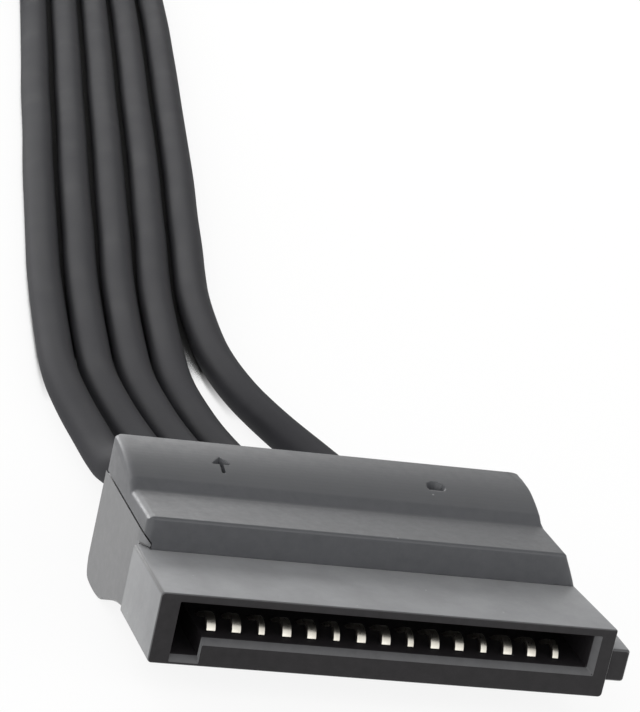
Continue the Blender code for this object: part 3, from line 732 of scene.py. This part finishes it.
def stamped_terminal(name, x, profile, finger_widths, shift=0.0, place=lambda rows: rows):
    """A strip of cells along a profile of (y, z): fingers, then the web, then the fork's prongs.

    The profile is made smooth, crossed with the strip's cuts, and only the cells that are metal are
    kept: those under a finger, within the web's width, or beside the fork's slot. The strip is made
    in its connector's own frame, and place leads to the receptacle's.
    """
    web_z = profile[-1][1]
    y = FORK_Y + shift
    short = FORK_BEND * BEND_SHARE
    bend = [(y - FORK_BEND, web_z), (y - short, web_z + short), (y, web_z + FORK_BEND)]
    upright = [(y, FORK_ROOT), (y, FORK_TOP)]
    steps = 4
    line = smooth(np.array([*profile, *bend, *upright]), steps)
    web_from = steps * (len(profile) - 1)
    prongs_from = steps * (len(profile) + len(bend))
    fingers = np.array([-PITCH, 0.0, PITCH])
    half = np.array(finger_widths) / 2
    fork = [-FORK_HALF, -FORK_SLOT / 2, FORK_SLOT / 2, FORK_HALF]
    cuts = np.unique(np.round(np.concatenate([fingers - half, fingers + half, fork]), 4))
    middle = (cuts[:-1] + cuts[1:]) / 2
    row = np.arange(len(line) - 1)[:, None]
    on_finger = (np.abs(middle[:, None] - fingers) < half).any(axis=1)
    on_prong = (np.abs(middle) > FORK_SLOT / 2) & (np.abs(middle) < FORK_HALF)
    on_web = np.abs(middle) < PITCH + half.max()
    kept = np.where(row < web_from, on_finger, np.where(row >= prongs_from, on_prong, on_web))
    ids = np.arange(len(line) * len(cuts)).reshape(len(line), len(cuts))
    quads = np.stack([ids[:-1, :-1], ids[:-1, 1:], ids[1:, 1:], ids[1:, :-1]], axis=-1)[kept]
    grid = np.stack(np.broadcast_arrays(x + cuts[None, :], line[:, :1], line[:, 1:]), axis=-1)
    grid = place(grid.reshape(-1, 3))
    used, faces = np.unique(quads, return_inverse=True)
    mesh = bpy.data.meshes.new(name)
    mesh.from_pydata(((grid[used] - MIDDLE) * MM).tolist(), [], faces.reshape(-1, 4).tolist())
    mesh.shade_smooth()
    return mesh


def add_terminal(name, mesh, material, node_name):
    """A terminal with its sheet's thickness and the slight round that stamping leaves."""
    made = add_piece(name, mesh, material, "tinned_contact", node_name)
    sheet = made.modifiers.new("sheet", "SOLIDIFY")
    sheet.thickness = SHEET * MM
    sheet.offset = 0.0
    sheet.use_even_offset = True
    edge = made.modifiers.new("edge", "BEVEL")
    edge.width = STAMPED_EDGE * MM
    edge.segments = 2
    edge.limit_method = "ANGLE"
    edge.angle_limit = math.radians(40)


def tinned_bronze():
    """Phosphor bronze under electroplated tin: bright, slightly clouded, with rolling lines along Y."""
    made, tree, output = new_material("tinned_bronze")
    place = node(tree, "TexCoord").outputs["Object"]
    rolled = node(tree, "Mapping", {"Vector": place, "Scale": (1.0, 0.08, 1.0)})
    lines = node(
        tree, "TexNoise", {"Vector": rolled.outputs["Vector"], "Scale": 1 / (0.05 * MM), "Detail": 3.0}
    )
    cloud = node(tree, "TexNoise", {"Vector": place, "Scale": 1 / (0.6 * MM), "Detail": 3.0})
    tone = node(tree, "ValToRGB", {"Fac": cloud.outputs["Fac"]})
    tone.color_ramp.elements[0].color = linear("b9b3a6")
    tone.color_ramp.elements[1].color = linear("e9e6dd")
    rough = node(tree, "MapRange", {"Value": lines.outputs["Fac"], "To Min": 0.2, "To Max": 0.42})
    bump = node(tree, "Bump", {"Height": lines.outputs["Fac"], "Strength": 0.15, "Distance": 0.004 * MM})
    shader = node(
        tree,
        "BsdfPrincipled",
        {
            "Base Color": tone.outputs["Color"],
            "Metallic": 1.0,
            "Roughness": rough.outputs["Result"],
            "Normal": bump.outputs["Normal"],
        },
    )
    tree.links.new(shader.outputs["BSDF"], output.inputs["Surface"])
    return made


tin = tinned_bronze()
for i in range(WIRES):
    x = (i - 2) * WIRE_PITCH + SPRING_ASIDE
    strip = stamped_terminal(f"receptacle_strip_{i + 1}", x, SPRING, SPRING_WIDTHS)
    add_terminal(f"receptacle_strip_{i + 1}", strip, tin, f"receptacle_terminal_{i + 1}")

# Receptacle cap: a second moulding of the same family of plastic, pressed down over the wires so
# that the forks cut into them. It has an upright front, a flat step and a crowned ridge, a leaning
# right end, and two small sunk marks.
CAP_FRONT = 5.0
CAP_SEAT = 3.66
STEP_TOP = 5.35
STEP_END = 8.55
RIDGE_TOP = 6.4
CAP_SEAM = 0.12
CAP_END_ROUND = 0.14
CAP_LEFT_ROUND = 0.35
CAP_GRID = 0.08
CAP_TOP_FROM = 5.0
BODY_FROM = -11.3
BODY_STEP = 0.6
STEP_HALF = 0.002

# The side outline: each corner's Y and Z, and the radius of its arc.
CAP_SIDE = [
    (CAP_FRONT, CAP_SEAT, 0.02),
    (CAP_FRONT, STEP_TOP, 0.16),
    (STEP_END, STEP_TOP - 0.1, 0.35),
    (9.2, 5.68, 0.8),
    (10.98, RIDGE_TOP, 9.2),
    (12.95, RIDGE_TOP, 0.2),
    (REAR_Y, RIDGE_TOP - 0.15, 0.15),
    (REAR_Y, CAP_SEAT, 0.02),
]

# The leaning right end: X at each height, the share of the way to it of the rows that are
# stretched, and the shares of their height that its last rows keep.
LEANING_END = [
    (CAP_SEAT, 11.08),
    (3.95, 10.95),
    (4.55, 10.65),
    (5.0, 10.41),
    (STEP_TOP, 10.24),
    (6.2, 10.24),
    (6.3, 10.18),
    (6.36, 10.0),
    (RIDGE_TOP, 9.65),
]
LEAN_FROM = 8.7
LEAN_SHARES = (0.15, 0.35, 0.55, 0.75, 0.9)
LET_DOWN = (0.9, 0.8, 0.7, 0.6, 0.5, 0.35, 0.15, 0.0)

# The marks: the arrow's X, Y at its head's base, half width and length; its stem's half width,
# and how far back its middle and its ends lie; and the dimple's X, Y and radius.
MARK_DEPTH = 0.35
MARK_EDGE = 0.05
MARK_REACH = 0.6
MARK_STEP = 0.07
MARKED_Y = (9.4, 12.5)
ARROW = (-6.55, 10.7, 0.52, 0.6)
ARROW_STEM = (0.1, 0.3, 0.34)
DIMPLE = (4.85, 10.5, 0.48)


def filled_in(outline, step):
    """The closed outline with points added so that none are further apart than the step."""
    closed = np.concatenate([outline, outline[:1]])
    along = np.concatenate([[0.0], np.cumsum(np.linalg.norm(np.diff(closed, axis=0), axis=1))])
    at = np.unique(np.concatenate([along, np.arange(0.0, along[-1], step)]))[:-1]
    return np.stack([np.interp(at, along, closed[:, 0]), np.interp(at, along, closed[:, 1])], axis=1)


def mark_depth(x, y):
    """How deep the arrow and the dimple are sunk at a place, from the distance inside each edge.

    The arrow is a head and a stem, each as far inside as its nearest edge. The dimple deepens along
    Y, and is half as deep as the arrow at its middle.
    """
    arrow_x, arrow_y, half, length = ARROW
    slope = half / length
    side = (np.abs(x - arrow_x) - slope * (arrow_y + length - y)) / math.hypot(1.0, slope)
    head = np.maximum(side, arrow_y - y)
    stem_half, stem_back, stem_reach = ARROW_STEM
    stem = np.maximum(np.abs(x - arrow_x) - stem_half, np.abs(y - arrow_y + stem_back) - stem_reach)
    spot_x, spot_y, radius = DIMPLE
    spot = radius - np.hypot(x - spot_x, y - spot_y)
    level = np.clip(0.5 + (y - spot_y) / radius, 0.0, 1.5)
    return MARK_DEPTH * np.maximum(ease(-np.minimum(head, stem) / MARK_EDGE), level * ease(spot / MARK_EDGE))


def cap_rows(shift):
    """The cap in rows along X, each its side outline, raised where the walls and the wires pass.

    A point's height is at least that of the wall's top and the seam over an end wall, and that of a
    round hole about the nearest wire behind the forks. Past a set place the rows are stretched to
    the leaning end, and the last few at either end are drawn in for its rounded edge: their front
    and back come inwards and their crest comes down by the inset. The leaning end is the last row
    let down to the seat in even shares, at the lean's X for each height.
    """
    corners = np.array([(y, z) for y, z, radius in CAP_SIDE])
    side = filled_in(rounded(corners, [radius for y, z, radius in CAP_SIDE], 14), CAP_GRID)
    crest = side[(side[:, 1] > CAP_TOP_FROM) & (np.abs(side[:, 0] - CAP_FRONT) > 0.001)]
    crest = crest[np.argsort(crest[:, 0])]
    left_step = REAR_LEFT + LEFT_WALL + CAP_SEAM
    right_step = REAR_RIGHT - RIGHT_WALL - CAP_SEAM
    wires = (np.arange(WIRES) - (WIRES - 1) / 2) * WIRE_PITCH
    swing = np.cos(np.linspace(0.0, math.pi, 15)) * HOLE_RADIUS
    marks = [np.arange(at - MARK_REACH, at + MARK_REACH, MARK_STEP) for at in (ARROW[0], DIMPLE[0])]
    left_rim = [(REAR_LEFT + back, inset) for back, inset in rim_steps(CAP_LEFT_ROUND, 6)[::-1]]
    nose = REAR_LEFT + NOSE_WIDTH
    steps = [at + aside for at in (left_step, nose) for aside in (-STEP_HALF, STEP_HALF)]
    holes = (wires[:, None] + swing).ravel()
    between = np.arange(BODY_FROM, LEAN_FROM, BODY_STEP)
    inner = np.unique(np.concatenate([*marks, steps, holes, between]))
    stations = left_rim + [(x, 0.0) for x in inner if x > REAR_LEFT + CAP_LEFT_ROUND]
    lean_z, lean_x = np.array(LEANING_END).T

    def row(x_reference, x_place, inset, height=1.0):
        """A row shaped for one X, and put at the X that x_place makes of the leaning end's."""
        y, z = side.T
        if inset:
            y = np.clip(y, CAP_FRONT + inset, REAR_Y - inset)
            z = np.minimum(z, np.interp(y, crest[:, 0], crest[:, 1]) - inset)
        over_left = x_reference < np.where(y < BOX_DEPTH, nose, left_step)
        over_wall = over_left | ((x_reference > right_step) & (y > RIGHT_WALL_FRONT - CAP_SEAM))
        aside = np.abs(x_reference - wires).min()
        hole = WIRE_Z + math.sqrt(max(HOLE_RADIUS**2 - aside**2, 0.0))
        fall = np.where(y < BOX_DEPTH, np.clip(x_reference - REAR_LEFT, 0.0, NOSE_WIDTH), 0.0)
        least = np.where(over_wall, WALL_TOP + CAP_SEAM - fall, CAP_SEAT)
        if aside < HOLE_RADIUS:
            least = np.where(y > HOLE_START, np.maximum(least, hole), least)
        z = np.maximum(z, least)
        marked = (y > MARKED_Y[0]) & (y < MARKED_Y[1]) & (z > CAP_TOP_FROM)
        z = z - np.where(marked, mark_depth(x_reference, y), 0.0)
        z = CAP_SEAT + (z - CAP_SEAT) * height
        x = x_place(np.interp(z, lean_z, lean_x))
        return np.stack([x + 0 * y, y + shift, z], axis=-1)

    rows = [row(x, lambda end, x=x: x, inset) for x, inset in stations]
    for share in LEAN_SHARES:
        past = LEAN_FROM + share * (REAR_RIGHT - LEAN_FROM)
        rows.append(row(past, lambda end, share=share: LEAN_FROM + share * (end - LEAN_FROM), 0.0))
    for back, inset in rim_steps(CAP_END_ROUND, 5):
        rows.append(row(REAR_RIGHT, lambda end, back=back: end - back, inset))
    for height in LET_DOWN:
        rows.append(row(REAR_RIGHT, lambda end: end, CAP_END_ROUND, height))
    return np.stack(rows)


# The cap's pale film is partly dust and partly painted light, as on the housing.
cap_plastic = moulded_polyester(
    "moulded_cap_polyester", "444548", "4b4c4f", "4d4e50", rough=0.4, specular=0.42, sheen=0.0
)
cap_mesh = loft_mesh("receptacle_pressed_cap", [cap_rows(0.0)])
add_piece("receptacle_pressed_cap", cap_mesh, cap_plastic, "black_cap", "receptacle_cap")

# Plug housing: the same polyester, moulded as a shell round a keyed tongue. The shell slides over a
# receptacle's front box, and its saddle block carries the wires and the cap as the receptacle's does.
SHELL_HALF = 13.2
SHELL_TOP = 5.05
SHELL_DEPTH = 6.4
SHELL_RIM = 0.15
SHELL_CORNER = 0.3
CAVITY_LEFT = -11.9
CAVITY_RIGHT = 12.1
CAVITY_LOW = -0.3
CAVITY_TOP = 3.95
CAVITY_DEPTH = 5.9
CAVITY_LEAD_IN = 0.2
CAVITY_CORNER = 0.04
NOTCH_LOW = 0.7
NOTCH_HIGH = 2.9
NOTCH_DEPTH = 1.5
NOTCH_END = 0.1
NOTCH_MARGIN = 0.2
NOTCH_CORNER = 0.05
TONGUE_HALF = 10.285
TONGUE_LOW = 1.715
TONGUE_THICK = 1.23
TONGUE_TIP = 0.7
TONGUE_CHAMFER = 0.25
LEG_WIDTH = 0.85
LEG_DROP = 0.97
OVERLAP = 0.2
PLUG_FOOT_END = 13.9
PLUG_BACK = [(14.3, 0.06), (14.6, 0.28), (14.8, 0.62), (14.9, 1.1)]


def turned_round(rows):
    """The rows of the plug's own frame put in the receptacle's: half a turn about Z, and moved."""
    return rows * (-1, -1, 1) + (PLUG_X, PLUG_Y, 0)


def plug_shell():
    """The shell and its cavity as one skin, from its back over the rim to the cavity's floor.

    The rows are the shell's outline, drawn in by the rim's arc at the face, and then the cavity's,
    grown by what is left of the lead-in. The cavity's left side has a notch for a receptacle's lug.
    """

    def outer(inset):
        left, right = inset - SHELL_HALF, SHELL_HALF - inset
        low, high = FOOT + inset, SHELL_TOP - inset
        heights = (NOTCH_HIGH + NOTCH_MARGIN, NOTCH_HIGH, NOTCH_LOW, NOTCH_LOW - NOTCH_MARGIN)
        corners = [(left, low), (right, low), (right, high), (left, high), *[(left, z) for z in heights]]
        return rounded(corners, [SHELL_CORNER] * 4 + [NOTCH_CORNER] * 4)

    def inner(grow, notch):
        left, right = CAVITY_LEFT - grow, CAVITY_RIGHT + grow
        low, high = CAVITY_LOW - grow, CAVITY_TOP + grow
        end = left - notch
        side = [(left, NOTCH_HIGH), (end, NOTCH_HIGH), (end, NOTCH_LOW), (left, NOTCH_LOW)]
        return rounded([(left, low), (right, low), (right, high), (left, high), *side], CAVITY_CORNER)

    rows = [across(outer(SHELL_RIM), SHELL_DEPTH), across(outer(0.0), SHELL_DEPTH - SHELL_RIM)]
    rows += [across(outer(inset), y) for y, inset in rim_steps(SHELL_RIM)]
    rows += [across(inner(CAVITY_LEAD_IN - y, TAB_OUT), y) for y in (0.0, CAVITY_LEAD_IN)]
    rows += [across(inner(0.0, notch), NOTCH_DEPTH) for notch in (TAB_OUT, NOTCH_END)]
    rows += [across(inner(0.0, NOTCH_END), y) for y in (3.5, CAVITY_DEPTH)]
    return np.stack(rows)


def plug_tongue():
    """The keyed tongue, from inside the cavity's floor to its tip.

    The rows are an L-shaped outline across X and Z, drawn in at the tip by the chamfer.
    """
    low, high = TONGUE_LOW, TONGUE_LOW + TONGUE_THICK
    leg = TONGUE_HALF - LEG_WIDTH

    def outline(inset):
        left, right = inset - TONGUE_HALF, TONGUE_HALF - inset
        bottom, drop = low + inset, low - LEG_DROP + inset
        corners = [(left, bottom), (leg + inset, bottom), (leg + inset, drop), (right, drop)]
        return rounded([*corners, (right, high - inset), (left, high - inset)], 0.06)

    tip = [(TONGUE_TIP + TONGUE_CHAMFER, 0.0), (TONGUE_TIP + 0.05, 0.2), (TONGUE_TIP, TONGUE_CHAMFER)]
    body = [(CAVITY_DEPTH + OVERLAP, 0.0), (3.0, 0.0)]
    return np.stack([across(outline(inset), y) for y, inset in [*body, *tip]])


def plug_block():
    """The plug's saddle block, from inside the shell's back wall to its rounded lower back edge."""
    seat = BOX_TOP
    start = SHELL_DEPTH - OVERLAP
    wall = RIGHT_WALL_FRONT + PLUG_SHIFT
    holes = HOLE_START + PLUG_SHIFT
    stations = [(start, FOOT + 0.02, WALL_TOP, seat, seat), (SHELL_DEPTH, FOOT, WALL_TOP, seat, seat)]
    stations += [(wall, FOOT, WALL_TOP, right_top, seat) for right_top in (seat, WALL_TOP)]
    level = [(y, 0.0) for y in (holes - HOLE_STEP, holes, PLUG_FOOT_END)]
    stations += [(y, FOOT + up, WALL_TOP, WALL_TOP, seat) for y, up in [*level, *PLUG_BACK]]
    return saddle_block(stations, PLUG_SHIFT)


plug_bodies = [turned_round(rows) for rows in (plug_shell(), plug_tongue(), plug_block())]
plug_mesh = loft_mesh("plug_moulding", plug_bodies)
plug_mesh.materials.append(housing_plastic)
# Painted shade: the plug's cavity and front face take the darker mating material.
cavity_low = (CAVITY_LEFT - 0.3, 0.15, CAVITY_LOW - 0.1)
cavity_high = (CAVITY_RIGHT + 0.3, CAVITY_DEPTH + 0.1, CAVITY_TOP + 0.1)
shade_mating_face(plug_mesh, mating_shade_plastic, cavity_low, cavity_high, turned_round)
add_piece("plug_moulding", plug_mesh, None, "black_housing", "plug_housing")

# Plug terminals: the same tinned strips with flat blades in place of springs. The blades lie along
# the underside of the tongue.
BLADE_WIDTHS = (0.84, 0.84, 0.84)
BLADE_Z = TONGUE_LOW - 0.11
BLADE = [(1.0, BLADE_Z), (3.5, BLADE_Z), (CAVITY_DEPTH + 0.6, BLADE_Z)]
for i in range(WIRES):
    x = (i - 2) * WIRE_PITCH
    strip = stamped_terminal(f"plug_strip_{i + 1}", x, BLADE, BLADE_WIDTHS, PLUG_SHIFT, turned_round)
    add_terminal(f"plug_strip_{i + 1}", strip, tin, f"plug_terminal_{i + 1}")

# Plug cap: the receptacle's cap again, moulded in the same plastic and pressed over the wires at
# their other end, so that the plug's forks cut into them.
plug_cap_mesh = loft_mesh("plug_pressed_cap", [turned_round(cap_rows(PLUG_SHIFT))])
add_piece("plug_pressed_cap", plug_cap_mesh, cap_plastic, "black_cap", "plug_cap")

# Tie: a black nylon strap pulled tight round the waist of the hank, through its own square head,
# with the tail cut short above it. Its teeth show on the tail.
TIE_WIDTH = 2.5
TIE_THICK = 0.5
TIE_HALF = 11.5
TIE_TOP = 4.03
TIE_CORNER = 0.85
TIE_EDGE = 0.12
HANK_X = 6.7
HEAD_LOW = (13.05, -2.1, 3.98)
HEAD_HIGH = (16.65, 2.1, 6.18)
HEAD_ROUND = 0.35
TAIL_START = 9.65
TAIL_Z = 5.33
TAIL_NARROWER = 0.1
TAIL_EDGE = 0.1
TAIL_INSIDE = 0.3
TOOTH = 0.55
TOOTH_GAP = 0.08
TOOTH_DEPTH = 0.16


def outward(outline):
    """Unit arrows square to a closed outline: each the step between a point's neighbours, turned a
    quarter, with the sign of the outline's area so that it points out.
    """
    step = np.roll(outline, -1, axis=0) - np.roll(outline, 1, axis=0)
    arrow = np.stack([step[:, 1], -step[:, 0]], axis=1)
    x, y = outline.T
    area = np.sum(x * np.roll(y, -1) - y * np.roll(x, -1))
    return arrow / np.linalg.norm(arrow, axis=1, keepdims=True) * np.sign(area)


def tie_strap():
    """The band's rounded section carried round a rounded rectangle, square to its line."""
    low = FOOT + TIE_THICK / 2
    left, right = HANK_X - TIE_HALF, HANK_X + TIE_HALF
    corners = [(left, low), (right, low), (right, TIE_TOP), (left, TIE_TOP)]
    line = filled_in(rounded(corners, TIE_CORNER, 9), 1.0)
    out = outward(line)
    half, thick = TIE_WIDTH / 2, TIE_THICK / 2
    section = rounded([(-thick, -half), (thick, -half), (thick, half), (-thick, half)], TIE_EDGE)
    flat = line[:, None] + out[:, None] * section[:, :1]
    y = np.broadcast_to(WAIST_Y + section[:, 1], flat.shape[:2])
    return np.stack([flat[..., 0], y, flat[..., 1]], axis=-1)


def tie_block(low, high, radius, stations):
    """A block in rows along X at (x, inset), each a rounded rectangle across Y and Z."""
    rows = []
    for x, inset in stations:
        (y0, z0), (y1, z1) = (low[1] + inset, low[2] + inset), (high[1] - inset, high[2] - inset)
        outline = rounded([(y0, z0), (y1, z0), (y1, z1), (y0, z1)], radius, 5)
        rows.append(np.stack([outline[:, 0] * 0 + x, WAIST_Y + outline[:, 0], outline[:, 1]], axis=-1))
    return np.stack(rows)


def tie_head():
    """The head: a block with rounded rims at both ends."""
    near = [(HEAD_LOW[0] + back, inset) for back, inset in rim_steps(HEAD_ROUND, 5)[::-1]]
    far = [(HEAD_HIGH[0] - back, inset) for back, inset in rim_steps(HEAD_ROUND, 5)]
    return tie_block(HEAD_LOW, HEAD_HIGH, HEAD_ROUND, near + far)


def tie_tail():
    """The cut tail, whose top is toothed: its thickness falls along each tooth and steps back up."""
    half, thick = TIE_WIDTH / 2 - TAIL_NARROWER, TIE_THICK / 2
    starts = np.arange(TAIL_START, HEAD_LOW[0] + TAIL_INSIDE, TOOTH)
    x = np.sort(np.concatenate([starts, starts + TOOTH - TOOTH_GAP]))
    stations = [(at, 0.0) for at in x]
    rows = tie_block((0, -half, TAIL_Z - thick), (0, half, TAIL_Z + thick), TAIL_EDGE, stations)
    tooth = np.where(np.arange(len(x)) % 2 == 0, 0.0, TOOTH_DEPTH)
    top = rows[..., 2] > TAIL_Z
    rows[..., 2] -= np.where(top, tooth[:, None], 0.0)
    return rows


def moulded_nylon():
    """Black nylon: harder and glossier than the housings, with faint flow clouds."""
    made, tree, output = new_material("moulded_nylon")
    place = node(tree, "TexCoord").outputs["Object"]
    flow = node(tree, "TexNoise", {"Vector": place, "Scale": 1 / (1.6 * MM), "Detail": 4.0})
    tone = node(tree, "ValToRGB", {"Fac": flow.outputs["Fac"]})
    tone.color_ramp.elements[0].color = linear("1b1b1d")
    tone.color_ramp.elements[1].color = linear("2b2b2d")
    rough = node(tree, "MapRange", {"Value": flow.outputs["Fac"], "To Min": 0.28, "To Max": 0.44})
    bump = node(tree, "Bump", {"Height": flow.outputs["Fac"], "Strength": 0.2, "Distance": 0.02 * MM})
    shader = node(
        tree,
        "BsdfPrincipled",
        {
            "Base Color": tone.outputs["Color"],
            "Roughness": rough.outputs["Result"],
            "IOR": 1.53,
            "Normal": bump.outputs["Normal"],
        },
    )
    tree.links.new(shader.outputs["BSDF"], output.inputs["Surface"])
    return made


tie_mesh = loft_mesh("nylon_tie", [tie_head(), tie_tail()], rings=[tie_strap()])
add_piece("nylon_tie", tie_mesh, moulded_nylon(), "tie_nylon", "hank_tie")

# Floor and light: white paper in a white surround that is brightest low down, to the left and
# towards the camera, with two soft lamps beyond the wires. The paper shows as white but for its
# shadows, and its colour is painted dark grey in the narrow gaps between the wires past the place
# where they close up: painted shade, read from ambient occlusion.
BACKDROP_SHARE = 0.88
FLOOR_HALF_M = 3.0
GAP_REACH = 1.45
WIRES_APART = 31
WIRES_CLOSE = 39
LAMP_AIM_M = (0.0, 0.01, 0.0)

floor_mesh = bpy.data.meshes.new("floor")
floor_corners = np.array([(-1, -1, 0), (1, -1, 0), (1, 1, 0), (-1, 1, 0)]) * FLOOR_HALF_M
floor_mesh.from_pydata(floor_corners.tolist(), [], [(0, 1, 2, 3)])
floor = bpy.data.objects.new("floor", floor_mesh)
bpy.context.collection.objects.link(floor)
floor_paper, tree, output = new_material("white_paper")
# Painted shade: where ambient occlusion is low, between the wires past where they close up, the paper's
# colour is mixed to dark grey and less of it shows as white.
near = node(tree, "AmbientOcclusion", {"Distance": GAP_REACH * MM})
gap_shade = node(tree, "MapRange", {"Value": near.outputs["AO"], "From Min": 0.37, "From Max": 0.45})
along = node(tree, "SeparateXYZ", {"Vector": node(tree, "TexCoord").outputs["Object"]})
apart = node(
    tree,
    "MapRange",
    {
        "Value": along.outputs["Y"],
        "From Min": WIRES_APART * MM,
        "From Max": WIRES_CLOSE * MM,
        "To Min": 1.0,
        "To Max": 0.0,
    },
)
clear = node(tree, "Math", {0: gap_shade.outputs["Result"], 1: apart.outputs["Result"]}, operation="MAXIMUM")
paper = node(
    tree,
    "MixRGB",
    {"Fac": clear.outputs["Value"], "Color1": linear("484848"), "Color2": linear("f6f6f5")},
)
lit = node(tree, "BsdfDiffuse", {"Color": paper.outputs["Color"]})
glow = node(tree, "Emission", {"Color": linear("ffffff"), "Strength": 1.0})
ray = node(tree, "LightPath").outputs
direct = node(tree, "Math", {0: ray["Is Camera Ray"], 1: ray["Is Glossy Ray"]}, operation="MAXIMUM")
seen = node(tree, "Math", {0: direct.outputs["Value"], 1: ray["Is Transmission Ray"]}, operation="MAXIMUM")
white = node(tree, "Math", {0: clear.outputs["Value"], 1: BACKDROP_SHARE}, operation="MULTIPLY")
share = node(tree, "Math", {0: seen.outputs["Value"], 1: white.outputs["Value"]}, operation="MULTIPLY")
shown = node(
    tree, "MixShader", {0: share.outputs["Value"], 1: lit.outputs["BSDF"], 2: glow.outputs["Emission"]}
)
tree.links.new(shown.outputs["Shader"], output.inputs["Surface"])
floor_mesh.materials.append(floor_paper)

world = bpy.data.worlds.new("surround")
bpy.context.scene.world = world
world.use_nodes = True
world.node_tree.nodes.clear()
tree = world.node_tree
heading = node(tree, "SeparateXYZ", {"Vector": node(tree, "TexCoord").outputs["Generated"]}).outputs
upward = node(tree, "MapRange", {"Value": heading["Z"], "To Min": 1.1, "To Max": 0.4})
aside = node(tree, "MapRange", {"Value": heading["X"], "From Min": -1.0, "To Min": 1.2, "To Max": 0.65})
onward = node(tree, "MapRange", {"Value": heading["Y"], "From Min": -1.0, "To Min": 2.0, "To Max": 0.9})
level = node(tree, "Math", {0: upward.outputs["Result"], 1: aside.outputs["Result"]}, operation="MULTIPLY")
strength = node(tree, "Math", {0: level.outputs["Value"], 1: onward.outputs["Result"]}, operation="MULTIPLY")
surround = node(tree, "Background", {"Color": linear("ffffff"), "Strength": strength.outputs["Value"]})
tree.links.new(surround.outputs["Background"], node(tree, "OutputWorld").inputs["Surface"])


def lamp(name, place, size, power):
    """A square area lamp at a place, turned to shine at the receptacle."""
    light = bpy.data.lights.new(name, "AREA")
    light.size = size
    light.energy = power
    made = bpy.data.objects.new(name, light)
    made.location = place
    made.rotation_euler = (Vector(LAMP_AIM_M) - Vector(place)).to_track_quat("-Z", "Y").to_euler()
    bpy.context.collection.objects.link(made)


lamp("left_softbox", (-0.2, 0.45, 0.09), size=0.16, power=0.5)
lamp("back_softbox", (-0.05, 0.5, 0.24), size=0.45, power=1.4)

bpy.context.scene.view_settings.view_transform = "Standard"
bpy.context.view_layer.update()
